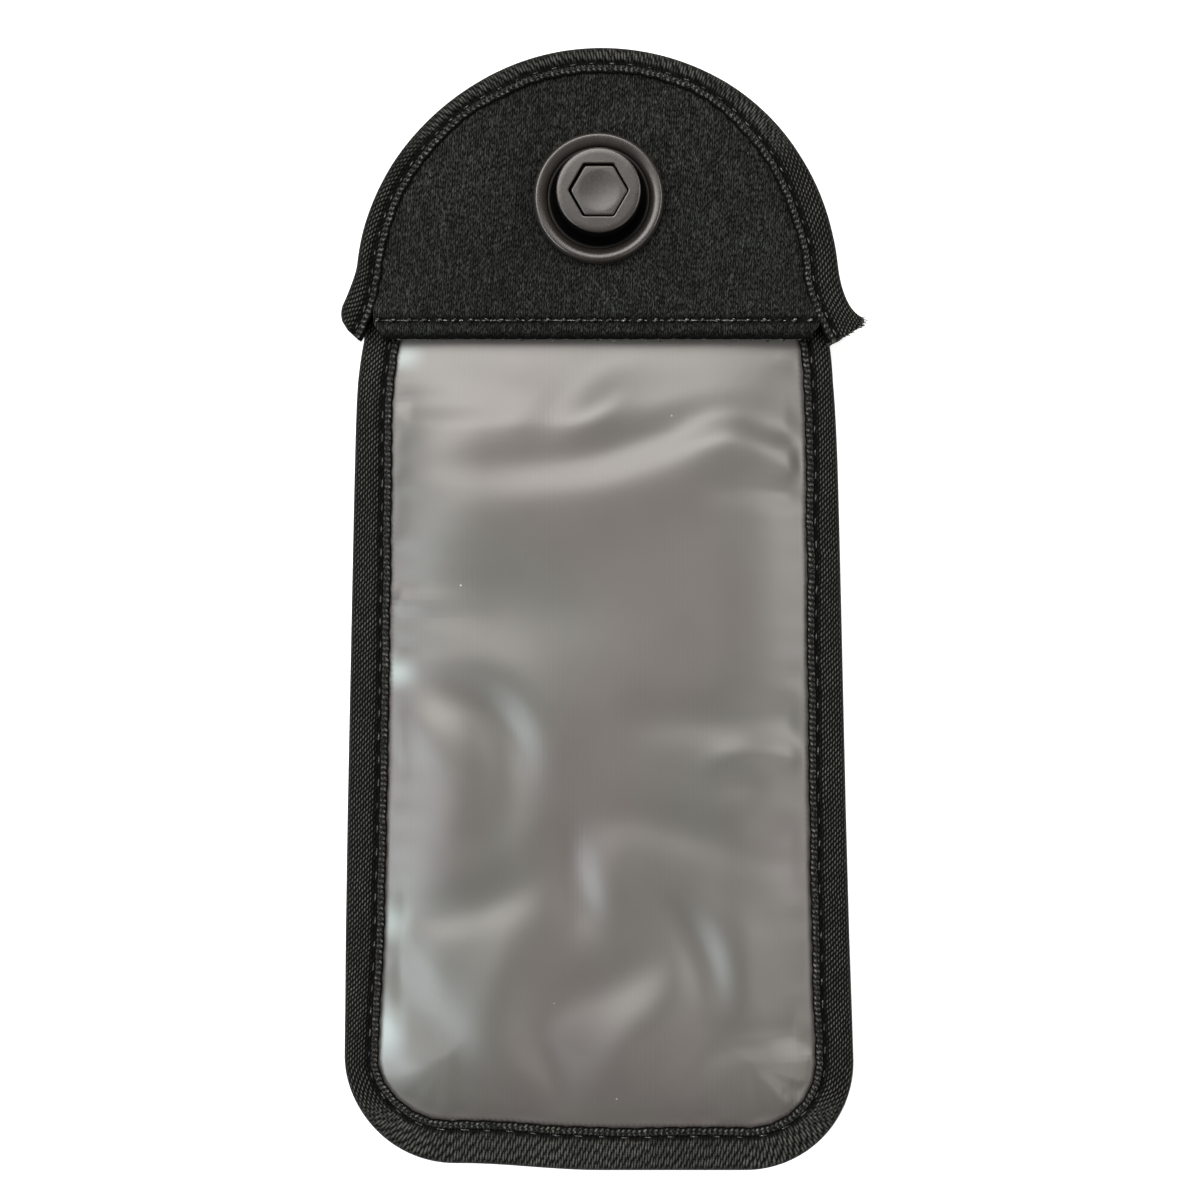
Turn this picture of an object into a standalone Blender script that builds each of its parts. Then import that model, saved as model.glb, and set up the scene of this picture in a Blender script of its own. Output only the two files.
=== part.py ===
"""Magnetic locking phone pouch, lying on its back with the window up.

A full neoprene back panel and a front are bound together along the sides and the foot.
The front is a half-round neoprene flap with a turned-under hem, and a frosted film window
sewn below it. The half-round edges of the front and the back are bound one by one, so the
mouth of the pouch runs along that arc. A magnetic ball-clutch lock on the flap grips a
grooved pin that is riveted through the back panel, and holds the mouth shut.

Frame: metres, +Z up, +Y towards the lock, origin on the ground below the middle of the pouch.
"""

import math

import bmesh
import bpy
import numpy as np
from mathutils import Matrix, Vector

# Plan of the pouch
POUCH_LENGTH = 0.224
FLAP_RADIUS = 0.048
FOOT_FLARE = 0.0031
CORNER_RADIUS = 0.022
NECK_TUCK = 0.0013
NECK_FADE = 0.008

# Sheets and the clearance between pieces that touch
NEOPRENE_THICKNESS = 0.002
FILM_THICKNESS = 0.0004
SEAT_GAP = 0.0003

# Binding tape, folded over the edges, and the seam along it
TAPE_THICKNESS = 0.00065
SIDE_TAPE_WIDTH = 0.0073
FOOT_TAPE_WIDTH = 0.009
FLAP_TAPE_WIDTH = 0.0053
LIP_WIDTH = 0.0018
ROLL_DEPTH = 0.0018
LIP_BEVEL = 0.0003
THREAD_DIAMETER = 0.0003
THREAD_GAP = 0.0001
VALLEY_FLOOR = 0.0007
VALLEY_MOUTH = 0.0013

# Loose tails of the front flap's binding
TAIL_START = 0.0052
TAIL_REACH = 0.004
TAIL_DROP = 0.0062
TAIL_CUT_RUN = 0.0045
TAIL_CUT_DROP = 0.0043

# Hem along the flap's straight edge
HEM_DROP = 0.0098
HEM_STITCH_SETBACK = 0.0036
HEM_ALLOWANCE_DEPTH = 0.006
HEM_ALLOWANCE_THICKNESS = 0.0012
HEM_FOLD_REACH = 0.0018
HEM_RAMP = 0.0027
HEM_CORNER_CUT = 0.0016
BINDING_JOIN_RISE = 0.003

# Film window, which stands up over the pocket
FILM_TAB = 0.0012
FILM_LIP_MARGIN = 0.0008
FILM_FLAT = 0.0006
FILM_SLOPE = 0.006
FILM_CROWN = 0.0046
FILM_HEM_RAMP = 0.010

# Lock on the flap
LOCK_FROM_TOP = 0.0301
FLAP_SINK = 0.00035
FLANGE_RADIUS = 0.013
FLANGE_PLATE = 0.0011
FLANGE_EDGE_BEVEL = 0.0002
FLANGE_EDGE_HEIGHT = 0.0006
RIM_RISE = 0.001
RIM_WALL_RADIUS = 0.010
RIM_CREST_WIDTH = 0.0012
NECK_RADIUS = 0.0045
RIVET_REACH = 0.0017
RIVET_THICKNESS = 0.00055
WASHER_THICKNESS = 0.0008
FRONT_WASHER_RADIUS = 0.0085
BACK_WASHER_RADIUS = 0.007

CAP_RADIUS = 0.0082
CAP_HEIGHT = 0.0076
CAP_WALL = 0.0012
CAP_PLATE = 0.0013
CAP_EDGE_ROUND = 0.0005
HEX_WINDOW = 0.0103
HEX_CHAMFER = 0.0004
POST_RECESS = 0.0003
POST_ROOF = 0.0014
CORE_WALL = 0.0017
DISH_RADIUS = 0.0041
DISH_DEPTH = 0.00035

# Ball clutch, spring and pin
PIN_RADIUS = 0.001
PIN_OVERRUN = 0.0006
PIN_POINT = 0.0006
PIN_HEAD_RADIUS = 0.004
PIN_HEAD_THICKNESS = 0.0004
GROOVE_DEPTH = 0.00012
GROOVE_PITCH = 0.0008
GROOVE_COUNT = 3
BUTTON_RADIUS = 0.011
BUTTON_THICKNESS = 0.0014
BUTTON_BEVEL = 0.0003
BALL_RADIUS = 0.0009
BALL_PLAY = 0.00015
BALL_COUNT = 3
BALL_SEAT_HEIGHT = 0.00112
CONE_ANGLE = math.radians(20.5)
CONE_FLOOR = 0.0003
CONE_HEIGHT = 0.0024
CAGE_HEAD_RADIUS = 0.0039
CAGE_HEAD_THICKNESS = 0.0005
SPRING_RADIUS = 0.0026
SPRING_WIRE = 0.0003
SPRING_TURNS = 3.5

# How finely round shapes are cut
SIDE_STEPS = 8
CORNER_STEPS = 6
ARC_STEPS = 12
TAIL_STEPS = 4
ROLL_STEPS = 5
LARGE_TURN = 32
SMALL_TURN = 20
HEX_TURN = 6
DISH_STEPS = 5
DISH_OVERREACH = 1.25
ROUND_STEPS = 3
SPRING_STEPS = 14
FILM_COLUMNS = (0.06, 0.14, 0.25, 0.42, 0.65, 1.0)
WELD = 0.00001

# Broad folds of the film: centre x and y, direction in degrees, half-length, half-width, height
FILM_FOLDS = (
    (-0.004, 0.027, 18.0, 0.026, 0.006, 0.0004),
    (0.030, 0.020, -5.0, 0.014, 0.006, 0.0003),
    (-0.016, -0.030, 62.0, 0.020, 0.007, 0.0004),
    (0.026, -0.066, -35.0, 0.022, 0.008, 0.0003),
    (0.002, -0.058, 88.0, 0.020, 0.009, -0.0003),
)

# Places on the pouch in plan
FOOT_HALF_WIDTH = FLAP_RADIUS + FOOT_FLARE
TOP_Y = POUCH_LENGTH / 2
FOOT_Y = -POUCH_LENGTH / 2
FLAP_CENTRE_Y = TOP_Y - FLAP_RADIUS
LOCK_Y = TOP_Y - LOCK_FROM_TOP
HEM_Y = FLAP_CENTRE_Y - HEM_DROP
HEM_STITCH_Y = HEM_Y + HEM_STITCH_SETBACK
ALLOWANCE_END_Y = HEM_Y + HEM_ALLOWANCE_DEPTH
RAMP_FOOT_Y = ALLOWANCE_END_Y + SEAT_GAP
RAMP_HEAD_Y = RAMP_FOOT_Y + HEM_RAMP
JOIN_Y = HEM_Y + BINDING_JOIN_RISE
BODY_TAPE_END_Y = JOIN_Y - SEAT_GAP / 2
BACK_TAPE_END_Y = JOIN_Y + SEAT_GAP / 2
FILM_TOP_Y = HEM_STITCH_Y + FILM_TAB
CORNER_Y = FOOT_Y + CORNER_RADIUS
CORNER_X = FOOT_HALF_WIDTH - CORNER_RADIUS
FILM_POLE_Y = FOOT_Y + FOOT_HALF_WIDTH
TAIL_ANGLE = math.asin(TAIL_START / FLAP_RADIUS)

# Heights of the sheets and tapes, from the ground up
BACK_PANEL_BOTTOM = TAPE_THICKNESS + SEAT_GAP
BACK_PANEL_TOP = BACK_PANEL_BOTTOM + NEOPRENE_THICKNESS
FILM_EDGE_BOTTOM = BACK_PANEL_TOP + SEAT_GAP
BODY_TAPE_TOP = FILM_EDGE_BOTTOM + FILM_THICKNESS + SEAT_GAP + TAPE_THICKNESS
BACK_TAPE_TOP = BACK_PANEL_TOP + SEAT_GAP + TAPE_THICKNESS
FRONT_TAPE_BOTTOM = BODY_TAPE_TOP + SEAT_GAP
FRONT_PANEL_BOTTOM = FRONT_TAPE_BOTTOM + TAPE_THICKNESS + SEAT_GAP
FRONT_PANEL_TOP = FRONT_PANEL_BOTTOM + NEOPRENE_THICKNESS
FRONT_TAPE_TOP = FRONT_PANEL_TOP + SEAT_GAP + TAPE_THICKNESS
ALLOWANCE_BOTTOM = FRONT_TAPE_BOTTOM
ALLOWANCE_TOP = ALLOWANCE_BOTTOM + HEM_ALLOWANCE_THICKNESS
HEM_SHEET_BOTTOM = ALLOWANCE_TOP + SEAT_GAP
HEM_SHEET_TOP = HEM_SHEET_BOTTOM + NEOPRENE_THICKNESS
FILM_HEM_RISE = ALLOWANCE_BOTTOM - SEAT_GAP - FILM_THICKNESS - FILM_EDGE_BOTTOM
VALLEY_DEPTH = THREAD_DIAMETER + THREAD_GAP

# Heights and radii of the lock, from the flap outwards
FLAP_RECESS_CEILING = FRONT_PANEL_BOTTOM + FLAP_SINK
FLAP_RECESS_FLOOR = FRONT_PANEL_TOP - FLAP_SINK
FRONT_WASHER_TOP = FLAP_RECESS_CEILING - SEAT_GAP
RIVET_TOP = FRONT_WASHER_TOP - WASHER_THICKNESS - SEAT_GAP
RIVET_BOTTOM = RIVET_TOP - RIVET_THICKNESS
FLANGE_BOTTOM = FLAP_RECESS_FLOOR + SEAT_GAP
FLANGE_FLOOR = FLANGE_BOTTOM + FLANGE_PLATE
RIM_TOP = FLANGE_FLOOR + RIM_RISE
CAP_BOTTOM = FLANGE_FLOOR + SEAT_GAP
CAP_TOP = CAP_BOTTOM + CAP_HEIGHT
CAP_CEILING = CAP_TOP - CAP_PLATE
CORE_SHOULDER = CAP_CEILING - SEAT_GAP
CORE_RADIUS = CAP_RADIUS - CAP_WALL - SEAT_GAP
POST_TOP = CAP_TOP - POST_RECESS
POST_WIDTH = HEX_WINDOW - 2 * SEAT_GAP
CAVITY_RADIUS = CORE_RADIUS - CORE_WALL
CAVITY_CEILING = POST_TOP - POST_ROOF
BORE_RADIUS = PIN_RADIUS + SEAT_GAP

# Heights and radii of the clutch
BALL_ORBIT = PIN_RADIUS + BALL_PLAY + BALL_RADIUS
CONE_SEAT = CAP_BOTTOM + CONE_FLOOR
CONE_TOP = CAP_BOTTOM + CONE_HEIGHT
BALL_Z = CONE_SEAT + BALL_SEAT_HEIGHT
BALL_WALL_RADIUS = BALL_ORBIT + (BALL_RADIUS + BALL_PLAY) / math.cos(CONE_ANGLE)
CONE_THROAT = BALL_WALL_RADIUS - math.tan(CONE_ANGLE) * BALL_SEAT_HEIGHT
CONE_MOUTH = CONE_THROAT + math.tan(CONE_ANGLE) * (CONE_TOP - CONE_SEAT)
CAGE_SLEEVE_RADIUS = BALL_ORBIT + BALL_PLAY
CAGE_FOOT = CONE_SEAT + SEAT_GAP
CAGE_HEAD_BOTTOM = CONE_TOP + SEAT_GAP
CAGE_HEAD_TOP = CAGE_HEAD_BOTTOM + CAGE_HEAD_THICKNESS
SPRING_BOTTOM = CAGE_HEAD_TOP + SEAT_GAP / 2
SPRING_TOP = CAVITY_CEILING - SEAT_GAP / 2
PIN_TIP = CAGE_HEAD_TOP + PIN_OVERRUN

# Heights of the pieces behind the back panel and on it
PIN_HEAD_BOTTOM = BUTTON_THICKNESS - PIN_HEAD_THICKNESS
BUTTON_POCKET_FLOOR = PIN_HEAD_BOTTOM - SEAT_GAP
BUTTON_RECESS_CEILING = BUTTON_THICKNESS + SEAT_GAP
BACK_RECESS_FLOOR = BACK_PANEL_TOP - FLAP_SINK
BACK_WASHER_BOTTOM = BACK_RECESS_FLOOR + SEAT_GAP

LOCK_CENTRE = Vector((0.0, LOCK_Y, 0.0))


# Scene, collections and materials

def clear_scene():
    """Remove every object of the scene."""
    for item in list(bpy.data.objects):
        bpy.data.objects.remove(item, do_unlink=True)


def add_collection(name):
    """Make a collection in the scene and return it."""
    collection = bpy.data.collections.new(name)
    bpy.context.scene.collection.children.link(collection)
    return collection


def make_material(name, color, roughness, metallic=0.0, alpha=1.0):
    """Make a Principled material from a colour and its surface values."""
    material = bpy.data.materials.new(name)
    material.use_nodes = True
    shader = material.node_tree.nodes["Principled BSDF"]
    shader.inputs["Base Color"].default_value = (*color, 1.0)
    shader.inputs["Roughness"].default_value = roughness
    shader.inputs["Metallic"].default_value = metallic
    shader.inputs["Alpha"].default_value = alpha
    return material


clear_scene()
PARTS = add_collection("magnetic_locking_phone_pouch")
CUTTERS = add_collection("cutters")

NEOPRENE = make_material("neoprene", (0.014, 0.014, 0.013), 0.85)
TAPE = make_material("binding_tape", (0.008, 0.008, 0.008), 0.7)
THREAD = make_material("thread", (0.012, 0.012, 0.012), 0.6)
FILM = make_material("frosted_film", (0.30, 0.29, 0.27), 0.45, alpha=0.85)
LOCK_SHELL = make_material("lock_shell", (0.09, 0.075, 0.066), 0.32)
BUTTON_PLASTIC = make_material("button_plastic", (0.006, 0.006, 0.006), 0.4)
STEEL = make_material("steel", (0.55, 0.55, 0.54), 0.3, metallic=1.0)


# Ways to make a solid

def add_object(name, data, material=None):
    """Put mesh or curve data in the scene: a part with its material, or a cutter."""
    item = bpy.data.objects.new(name, data)
    if material is None:
        CUTTERS.objects.link(item)
        item.hide_render = True
        item.display_type = "WIRE"
    else:
        PARTS.objects.link(item)
        data.materials.append(material)
    return item


def smooth(mesh):
    """Shade a mesh smooth, with sharp edges left where the faces turn by more than 35 degrees."""
    mesh.shade_smooth()
    mesh.set_sharp_from_angle(angle=math.radians(35))


def curve_to_mesh(item, material=None):
    """Replace a curve object by a mesh object in the same place, with its caps welded on."""
    bpy.context.view_layer.update()
    evaluated = item.evaluated_get(bpy.context.evaluated_depsgraph_get())
    mesh = bpy.data.meshes.new_from_object(evaluated)
    place = item.matrix_world.copy()
    name = item.name
    bpy.data.objects.remove(item, do_unlink=True)
    shape = bmesh.new()
    shape.from_mesh(mesh)
    bmesh.ops.remove_doubles(shape, verts=shape.verts, dist=WELD)
    shape.to_mesh(mesh)
    shape.free()
    mesh.materials.clear()
    result = add_object(name, mesh, material)
    result.matrix_world = place
    return result


def slab(name, outline, thickness, material=None):
    """Flat sheet with its middle on its own XY plane, from the closed 2D curve of its outline."""
    curve = bpy.data.curves.new(name, "CURVE")
    curve.dimensions = "2D"
    curve.fill_mode = "BOTH"
    curve.extrude = thickness / 2
    spline = curve.splines.new("POLY")
    spline.points.add(len(outline) - 1)
    for knot, place in zip(spline.points, outline):
        knot.co = (place[0], place[1], 0.0, 1.0)
    spline.use_cyclic_u = True
    return add_object(name, curve, material)


def tube(name, route, radius, material):
    """Round thread or wire along a route of points, closed at both ends."""
    curve = bpy.data.curves.new(name, "CURVE")
    curve.dimensions = "3D"
    curve.bevel_depth = radius
    curve.bevel_resolution = 1
    curve.use_fill_caps = True
    spline = curve.splines.new("POLY")
    spline.points.add(len(route) - 1)
    for knot, place in zip(spline.points, route):
        knot.co = (*place, 1.0)
    return add_object(name, curve, material)


def turned(name, profile, material=None, steps=LARGE_TURN, ring=False):
    """Solid of revolution on the lock's axis, from (radius, height) points down its outer side."""
    mesh = bpy.data.meshes.new(name)
    links = [(i, i + 1) for i in range(len(profile) - 1)]
    if ring:
        links.append((len(profile) - 1, 0))
    mesh.from_pydata([(radius, 0.0, height) for radius, height in profile], links, [])
    item = add_object(name, mesh, material)
    item.location = LOCK_CENTRE
    screw = item.modifiers.new("turn", "SCREW")
    screw.axis = "Z"
    screw.steps = steps
    screw.render_steps = steps
    screw.use_merge_vertices = True
    screw.merge_threshold = WELD
    return item


def boolean(item, cutter, operation="DIFFERENCE"):
    """Cut, join or trim a mesh object by a cutter."""
    step = item.modifiers.new(operation.lower(), "BOOLEAN")
    step.operation = operation
    step.solver = "EXACT"
    step.object = cutter


def drum(name, radius, bottom, top, steps=LARGE_TURN):
    """Round cutter on the lock's axis between two heights."""
    return turned(name, [(0.0, top), (radius, top), (radius, bottom), (0.0, bottom)], steps=steps)


def loft(name, rings, material):
    """Closed solid through equal rings of points, with a flat face at each end."""
    shape = bmesh.new()
    rows = [[shape.verts.new(point) for point in ring] for ring in rings]
    for first, second in zip(rows, rows[1:]):
        for i, corner in enumerate(first):
            j = (i + 1) % len(first)
            shape.faces.new((corner, first[j], second[j], second[i]))
    shape.faces.new(rows[0])
    shape.faces.new(rows[-1])
    bmesh.ops.recalc_face_normals(shape, faces=shape.faces)
    mesh = bpy.data.meshes.new(name)
    shape.to_mesh(mesh)
    shape.free()
    smooth(mesh)
    return add_object(name, mesh, material)


# Lines in plan, each as the right half from its upper or outer end to the middle

def mirrored(half):
    """Whole line from its right half, whose last point lies on the middle plane."""
    return half + [Vector((-point.x, point.y)) for point in reversed(half[:-1])]


def side_half_width(y):
    """Outer half-width of the pouch's body at a height y of its sides."""
    share = (HEM_Y - y) / (HEM_Y - CORNER_Y)
    tuck = NECK_TUCK * math.exp(min(y - HEM_Y, 0.0) / NECK_FADE)
    return FLAP_RADIUS + FOOT_FLARE * share - tuck


def body_line(side_inset, foot_inset, top_y):
    """Line inside the body's edge, from top_y down the side, round the corner, to the foot."""
    half = []
    for step in range(SIDE_STEPS):
        y = top_y + (CORNER_Y - top_y) * (step / SIDE_STEPS) ** 2
        half.append(Vector((side_half_width(y) - side_inset, y)))
    for step in range(CORNER_STEPS + 1):
        share = step / CORNER_STEPS
        radius = CORNER_RADIUS - side_inset - (foot_inset - side_inset) * share
        turn = share * math.pi / 2
        half.append(Vector((CORNER_X + radius * math.cos(turn), CORNER_Y - radius * math.sin(turn))))
    half.append(Vector((0.0, FOOT_Y + foot_inset)))
    return half


def arc_point(radius, angle):
    """Point at an angle of the flap's arc, from +X at its centre."""
    return Vector((radius * math.cos(angle), FLAP_CENTRE_Y + radius * math.sin(angle)))


def arc_line(radius, start):
    """Arc about the flap's centre, from a start angle to the top."""
    return [arc_point(radius, angle) for angle in np.linspace(start, math.pi / 2, ARC_STEPS + 1)]


def back_arc_line(inset, end_y=BACK_TAPE_END_Y):
    """Line inside the back's upper edge, from the neck up to the arc and over to the top."""
    neck = Vector((side_half_width(end_y) - inset, end_y))
    return [neck] + arc_line(FLAP_RADIUS - inset, 0.0)


def tail_line(end, radius):
    """Tail of the front binding, a quadratic curve from its cut end to the arc."""
    start = arc_point(radius, TAIL_ANGLE)
    along = Vector((math.sin(TAIL_ANGLE), -math.cos(TAIL_ANGLE)))
    handle = start + along * (end - start).length / 2
    shares = np.linspace(0.0, 1.0, TAIL_STEPS, endpoint=False)
    return [end * (1 - s) ** 2 + handle * (2 * s * (1 - s)) + start * s ** 2 for s in shares]


TAIL_OUTER_END = Vector((FLAP_RADIUS + TAIL_REACH, FLAP_CENTRE_Y - TAIL_DROP))
TAIL_INNER_END = TAIL_OUTER_END - Vector((TAIL_CUT_RUN, TAIL_CUT_DROP))


def front_arc_line(inner):
    """Outer or inner edge of the front binding, from the tail's end to the top."""
    end = TAIL_INNER_END if inner else TAIL_OUTER_END
    radius = FLAP_RADIUS - FLAP_TAPE_WIDTH if inner else FLAP_RADIUS
    return tail_line(end, radius) + arc_line(radius, TAIL_ANGLE)


# Binding tapes and their seams

def tape_section(width, slot):
    """Section of a tape folded over an edge: distance in from the fold, height off its middle."""
    face = slot + TAPE_THICKNESS
    floor = face - VALLEY_DEPTH
    seam = width - LIP_WIDTH
    upper = [
        (width, slot),
        (width, face - LIP_BEVEL),
        (width - LIP_BEVEL, face),
        (seam + VALLEY_MOUTH / 2, face),
        (seam + VALLEY_FLOOR / 2, floor),
        (seam - VALLEY_FLOOR / 2, floor),
        (seam - VALLEY_MOUTH / 2, face),
    ]
    turns = np.linspace(0.0, math.pi, ROLL_STEPS)
    roll = [(ROLL_DEPTH * (1 - math.sin(a)), face * math.cos(a)) for a in turns]
    inside = ROLL_DEPTH - TAPE_THICKNESS
    hollow = [(ROLL_DEPTH - inside * math.sin(a), slot * math.cos(a)) for a in reversed(turns)]
    lower = [(u, -w) for u, w in reversed(upper)]
    return upper + roll + lower + hollow


def binding(name, outer, inner, bottom, top):
    """Tape folded over an edge between two lines in plan, and between two heights."""
    middle = (bottom + top) / 2
    slot = (top - bottom) / 2 - TAPE_THICKNESS
    rings = []
    for edge, lip in zip(outer, inner):
        inward = (lip - edge).normalized()
        section = tape_section((lip - edge).length, slot)
        rings.append([(*(edge + inward * u), middle + w) for u, w in section])
    return loft(name, rings, TAPE)


def seam_thread(name, outer, inner, height):
    """Thread along a tape's seam, at the height of its middle."""
    route = []
    for edge, lip in zip(outer, inner):
        place = lip - (lip - edge).normalized() * LIP_WIDTH
        route.append((place.x, place.y, height))
    return tube(name, route, THREAD_DIAMETER / 2, THREAD)


def build_bindings():
    """Three bindings, each with the needle thread above and the bobbin thread below."""
    edges = {
        "body": (
            body_line(0.0, 0.0, BODY_TAPE_END_Y),
            body_line(SIDE_TAPE_WIDTH, FOOT_TAPE_WIDTH, BODY_TAPE_END_Y),
            0.0,
            BODY_TAPE_TOP,
        ),
        "back_flap": (
            back_arc_line(0.0),
            back_arc_line(FLAP_TAPE_WIDTH),
            0.0,
            BACK_TAPE_TOP,
        ),
        "front_flap": (
            front_arc_line(inner=False),
            front_arc_line(inner=True),
            FRONT_TAPE_BOTTOM,
            FRONT_TAPE_TOP,
        ),
    }
    for name, (outer, inner, bottom, top) in edges.items():
        outer = mirrored(outer)
        inner = mirrored(inner)
        binding(f"{name}_binding", outer, inner, bottom, top)
        seam_thread(f"{name}_needle_thread", outer, inner, top - THREAD_DIAMETER / 2)
        seam_thread(f"{name}_bobbin_thread", outer, inner, bottom + THREAD_DIAMETER / 2)


# Panels

def build_back_panel():
    """Neoprene back: the arc and the body in one sheet, sunk under the button and the washer."""
    side = body_line(ROLL_DEPTH, ROLL_DEPTH, HEM_Y)[:-1]
    half = list(reversed(side)) + back_arc_line(ROLL_DEPTH, JOIN_Y)
    sheet = slab("back_panel", mirrored(half), NEOPRENE_THICKNESS, NEOPRENE)
    sheet.location.z = (BACK_PANEL_BOTTOM + BACK_PANEL_TOP) / 2
    panel = curve_to_mesh(sheet, NEOPRENE)
    below = BACK_PANEL_BOTTOM - SEAT_GAP
    above = BACK_PANEL_TOP + SEAT_GAP
    boolean(panel, drum("button_recess", BUTTON_RADIUS + SEAT_GAP, below, BUTTON_RECESS_CEILING))
    boolean(panel, drum("washer_recess", BACK_WASHER_RADIUS + SEAT_GAP, BACK_RECESS_FLOOR, above))
    boolean(panel, drum("pin_hole", BORE_RADIUS, below, above, SMALL_TURN))


def hem_profile():
    """Section of the front flap along Y and Z: flat sheet, ramp, seam valley, fold, allowance."""
    reach = TOP_Y
    fold_y = HEM_Y + HEM_FOLD_REACH
    fold_z = (ALLOWANCE_BOTTOM + HEM_SHEET_TOP) / 2
    fold_height = (HEM_SHEET_TOP - ALLOWANCE_BOTTOM) / 2
    valley_z = HEM_SHEET_TOP - VALLEY_DEPTH
    turns = np.linspace(0.0, math.pi, ROLL_STEPS + 2)
    fold = [(fold_y - HEM_FOLD_REACH * math.sin(a), fold_z - fold_height * math.cos(a)) for a in turns]
    return [
        (reach, FRONT_PANEL_TOP),
        (reach, FRONT_PANEL_BOTTOM),
        (RAMP_HEAD_Y, FRONT_PANEL_BOTTOM),
        (RAMP_FOOT_Y, HEM_SHEET_BOTTOM),
        (fold_y + SEAT_GAP, HEM_SHEET_BOTTOM),
        (fold_y + SEAT_GAP, ALLOWANCE_TOP),
        (ALLOWANCE_END_Y, ALLOWANCE_TOP),
        (ALLOWANCE_END_Y, ALLOWANCE_BOTTOM),
        *fold,
        (HEM_STITCH_Y - VALLEY_MOUTH / 2, HEM_SHEET_TOP),
        (HEM_STITCH_Y - VALLEY_FLOOR / 2, valley_z),
        (HEM_STITCH_Y + VALLEY_FLOOR / 2, valley_z),
        (HEM_STITCH_Y + VALLEY_MOUTH / 2, HEM_SHEET_TOP),
        (RAMP_FOOT_Y, HEM_SHEET_TOP),
        (RAMP_HEAD_Y, FRONT_PANEL_TOP),
    ]


def hem_half_width():
    """Half-width of the flap at its hem, just inside the binding's lip where the ramp starts."""
    lip = front_arc_line(inner=True)
    ys = [point.y for point in lip]
    xs = [point.x for point in lip]
    return float(np.interp(RAMP_HEAD_Y, ys, xs)) - SEAT_GAP


def build_front_flap():
    """Neoprene flap with its hem folded under, sunk between the lock's flange and washer."""
    section = slab("front_flap", hem_profile(), 2 * FLAP_RADIUS, NEOPRENE)
    section.matrix_world = Matrix(((0, 0, 1, 0), (1, 0, 0, 0), (0, 1, 0, 0), (0, 0, 0, 1)))
    flap = curve_to_mesh(section, NEOPRENE)

    half_width = hem_half_width()
    half = [
        Vector((half_width - HEM_CORNER_CUT, HEM_Y - SEAT_GAP)),
        Vector((half_width, HEM_STITCH_Y)),
        Vector((half_width, RAMP_HEAD_Y)),
        *arc_line(FLAP_RADIUS - ROLL_DEPTH, TAIL_ANGLE),
    ]
    outline = slab("flap_outline", mirrored(half), HEM_SHEET_TOP * 3)
    boolean(flap, curve_to_mesh(outline), "INTERSECT")
    below = ALLOWANCE_BOTTOM - SEAT_GAP
    above = HEM_SHEET_TOP + SEAT_GAP
    boolean(flap, drum("flange_recess", FLANGE_RADIUS + SEAT_GAP, FLAP_RECESS_FLOOR, above))
    boolean(flap, drum("front_washer_recess", FRONT_WASHER_RADIUS + SEAT_GAP, below, FLAP_RECESS_CEILING))
    boolean(flap, drum("neck_hole", NECK_RADIUS + SEAT_GAP, below, above, SMALL_TURN))

    thread_end = half_width - VALLEY_MOUTH
    thread_z = HEM_SHEET_TOP - THREAD_DIAMETER / 2
    route = [(thread_end, HEM_STITCH_Y, thread_z), (-thread_end, HEM_STITCH_Y, thread_z)]
    tube("hem_thread", route, THREAD_DIAMETER / 2, THREAD)


# Film window

def ease(share):
    """Smooth step from 0 to 1, level at both ends."""
    share = min(max(share, 0.0), 1.0)
    return share * share * (3 - 2 * share)


def film_folds(x, y):
    """Height of the film's broad folds at a point."""
    height = 0.0
    for fold_x, fold_y, degrees, half_length, half_width, rise in FILM_FOLDS:
        turn = math.radians(degrees)
        along = (x - fold_x) * math.cos(turn) + (y - fold_y) * math.sin(turn)
        across = (y - fold_y) * math.cos(turn) - (x - fold_x) * math.sin(turn)
        height += rise * math.exp(-((along / half_length) ** 2) - (across / half_width) ** 2)
    return height


def film_point(place, from_lip):
    """Point on the film's underside over a place in plan, at a distance in from the tape's lip."""
    loose = ease((from_lip - FILM_FLAT) / FILM_SLOPE)
    open_pocket = ease((HEM_Y - place.y) / FILM_HEM_RAMP)
    crown = FILM_HEM_RISE + (FILM_CROWN - FILM_HEM_RISE) * open_pocket
    height = loose * (crown + film_folds(place.x, place.y) * open_pocket)
    return (place.x, place.y, FILM_EDGE_BOTTOM + height)


def film_half():
    """Rows of (place, distance from the lip) across the right half, from the hem to the foot."""
    tab_inset = SIDE_TAPE_WIDTH + SEAT_GAP
    lip_inset = SIDE_TAPE_WIDTH + FILM_LIP_MARGIN
    tab_ys = (FILM_TOP_Y, JOIN_Y)
    edge = [Vector((side_half_width(y) - tab_inset, y)) for y in tab_ys]
    lip = [Vector((side_half_width(y) - lip_inset, y)) for y in tab_ys]
    edge += body_line(ROLL_DEPTH, ROLL_DEPTH, BODY_TAPE_END_Y - FILM_LIP_MARGIN)
    foot_inset = FOOT_TAPE_WIDTH + FILM_LIP_MARGIN
    lip += body_line(lip_inset, foot_inset, BODY_TAPE_END_Y - FILM_LIP_MARGIN)
    rows = []
    for outer, inner in zip(edge, lip):
        middle = Vector((0.0, max(inner.y, FILM_POLE_Y)))
        row = [(outer, 0.0), (inner, 0.0)]
        for share in FILM_COLUMNS:
            row.append((inner.lerp(middle, share), (middle - inner).length * share))
        rows.append(row)
    return rows


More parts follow.
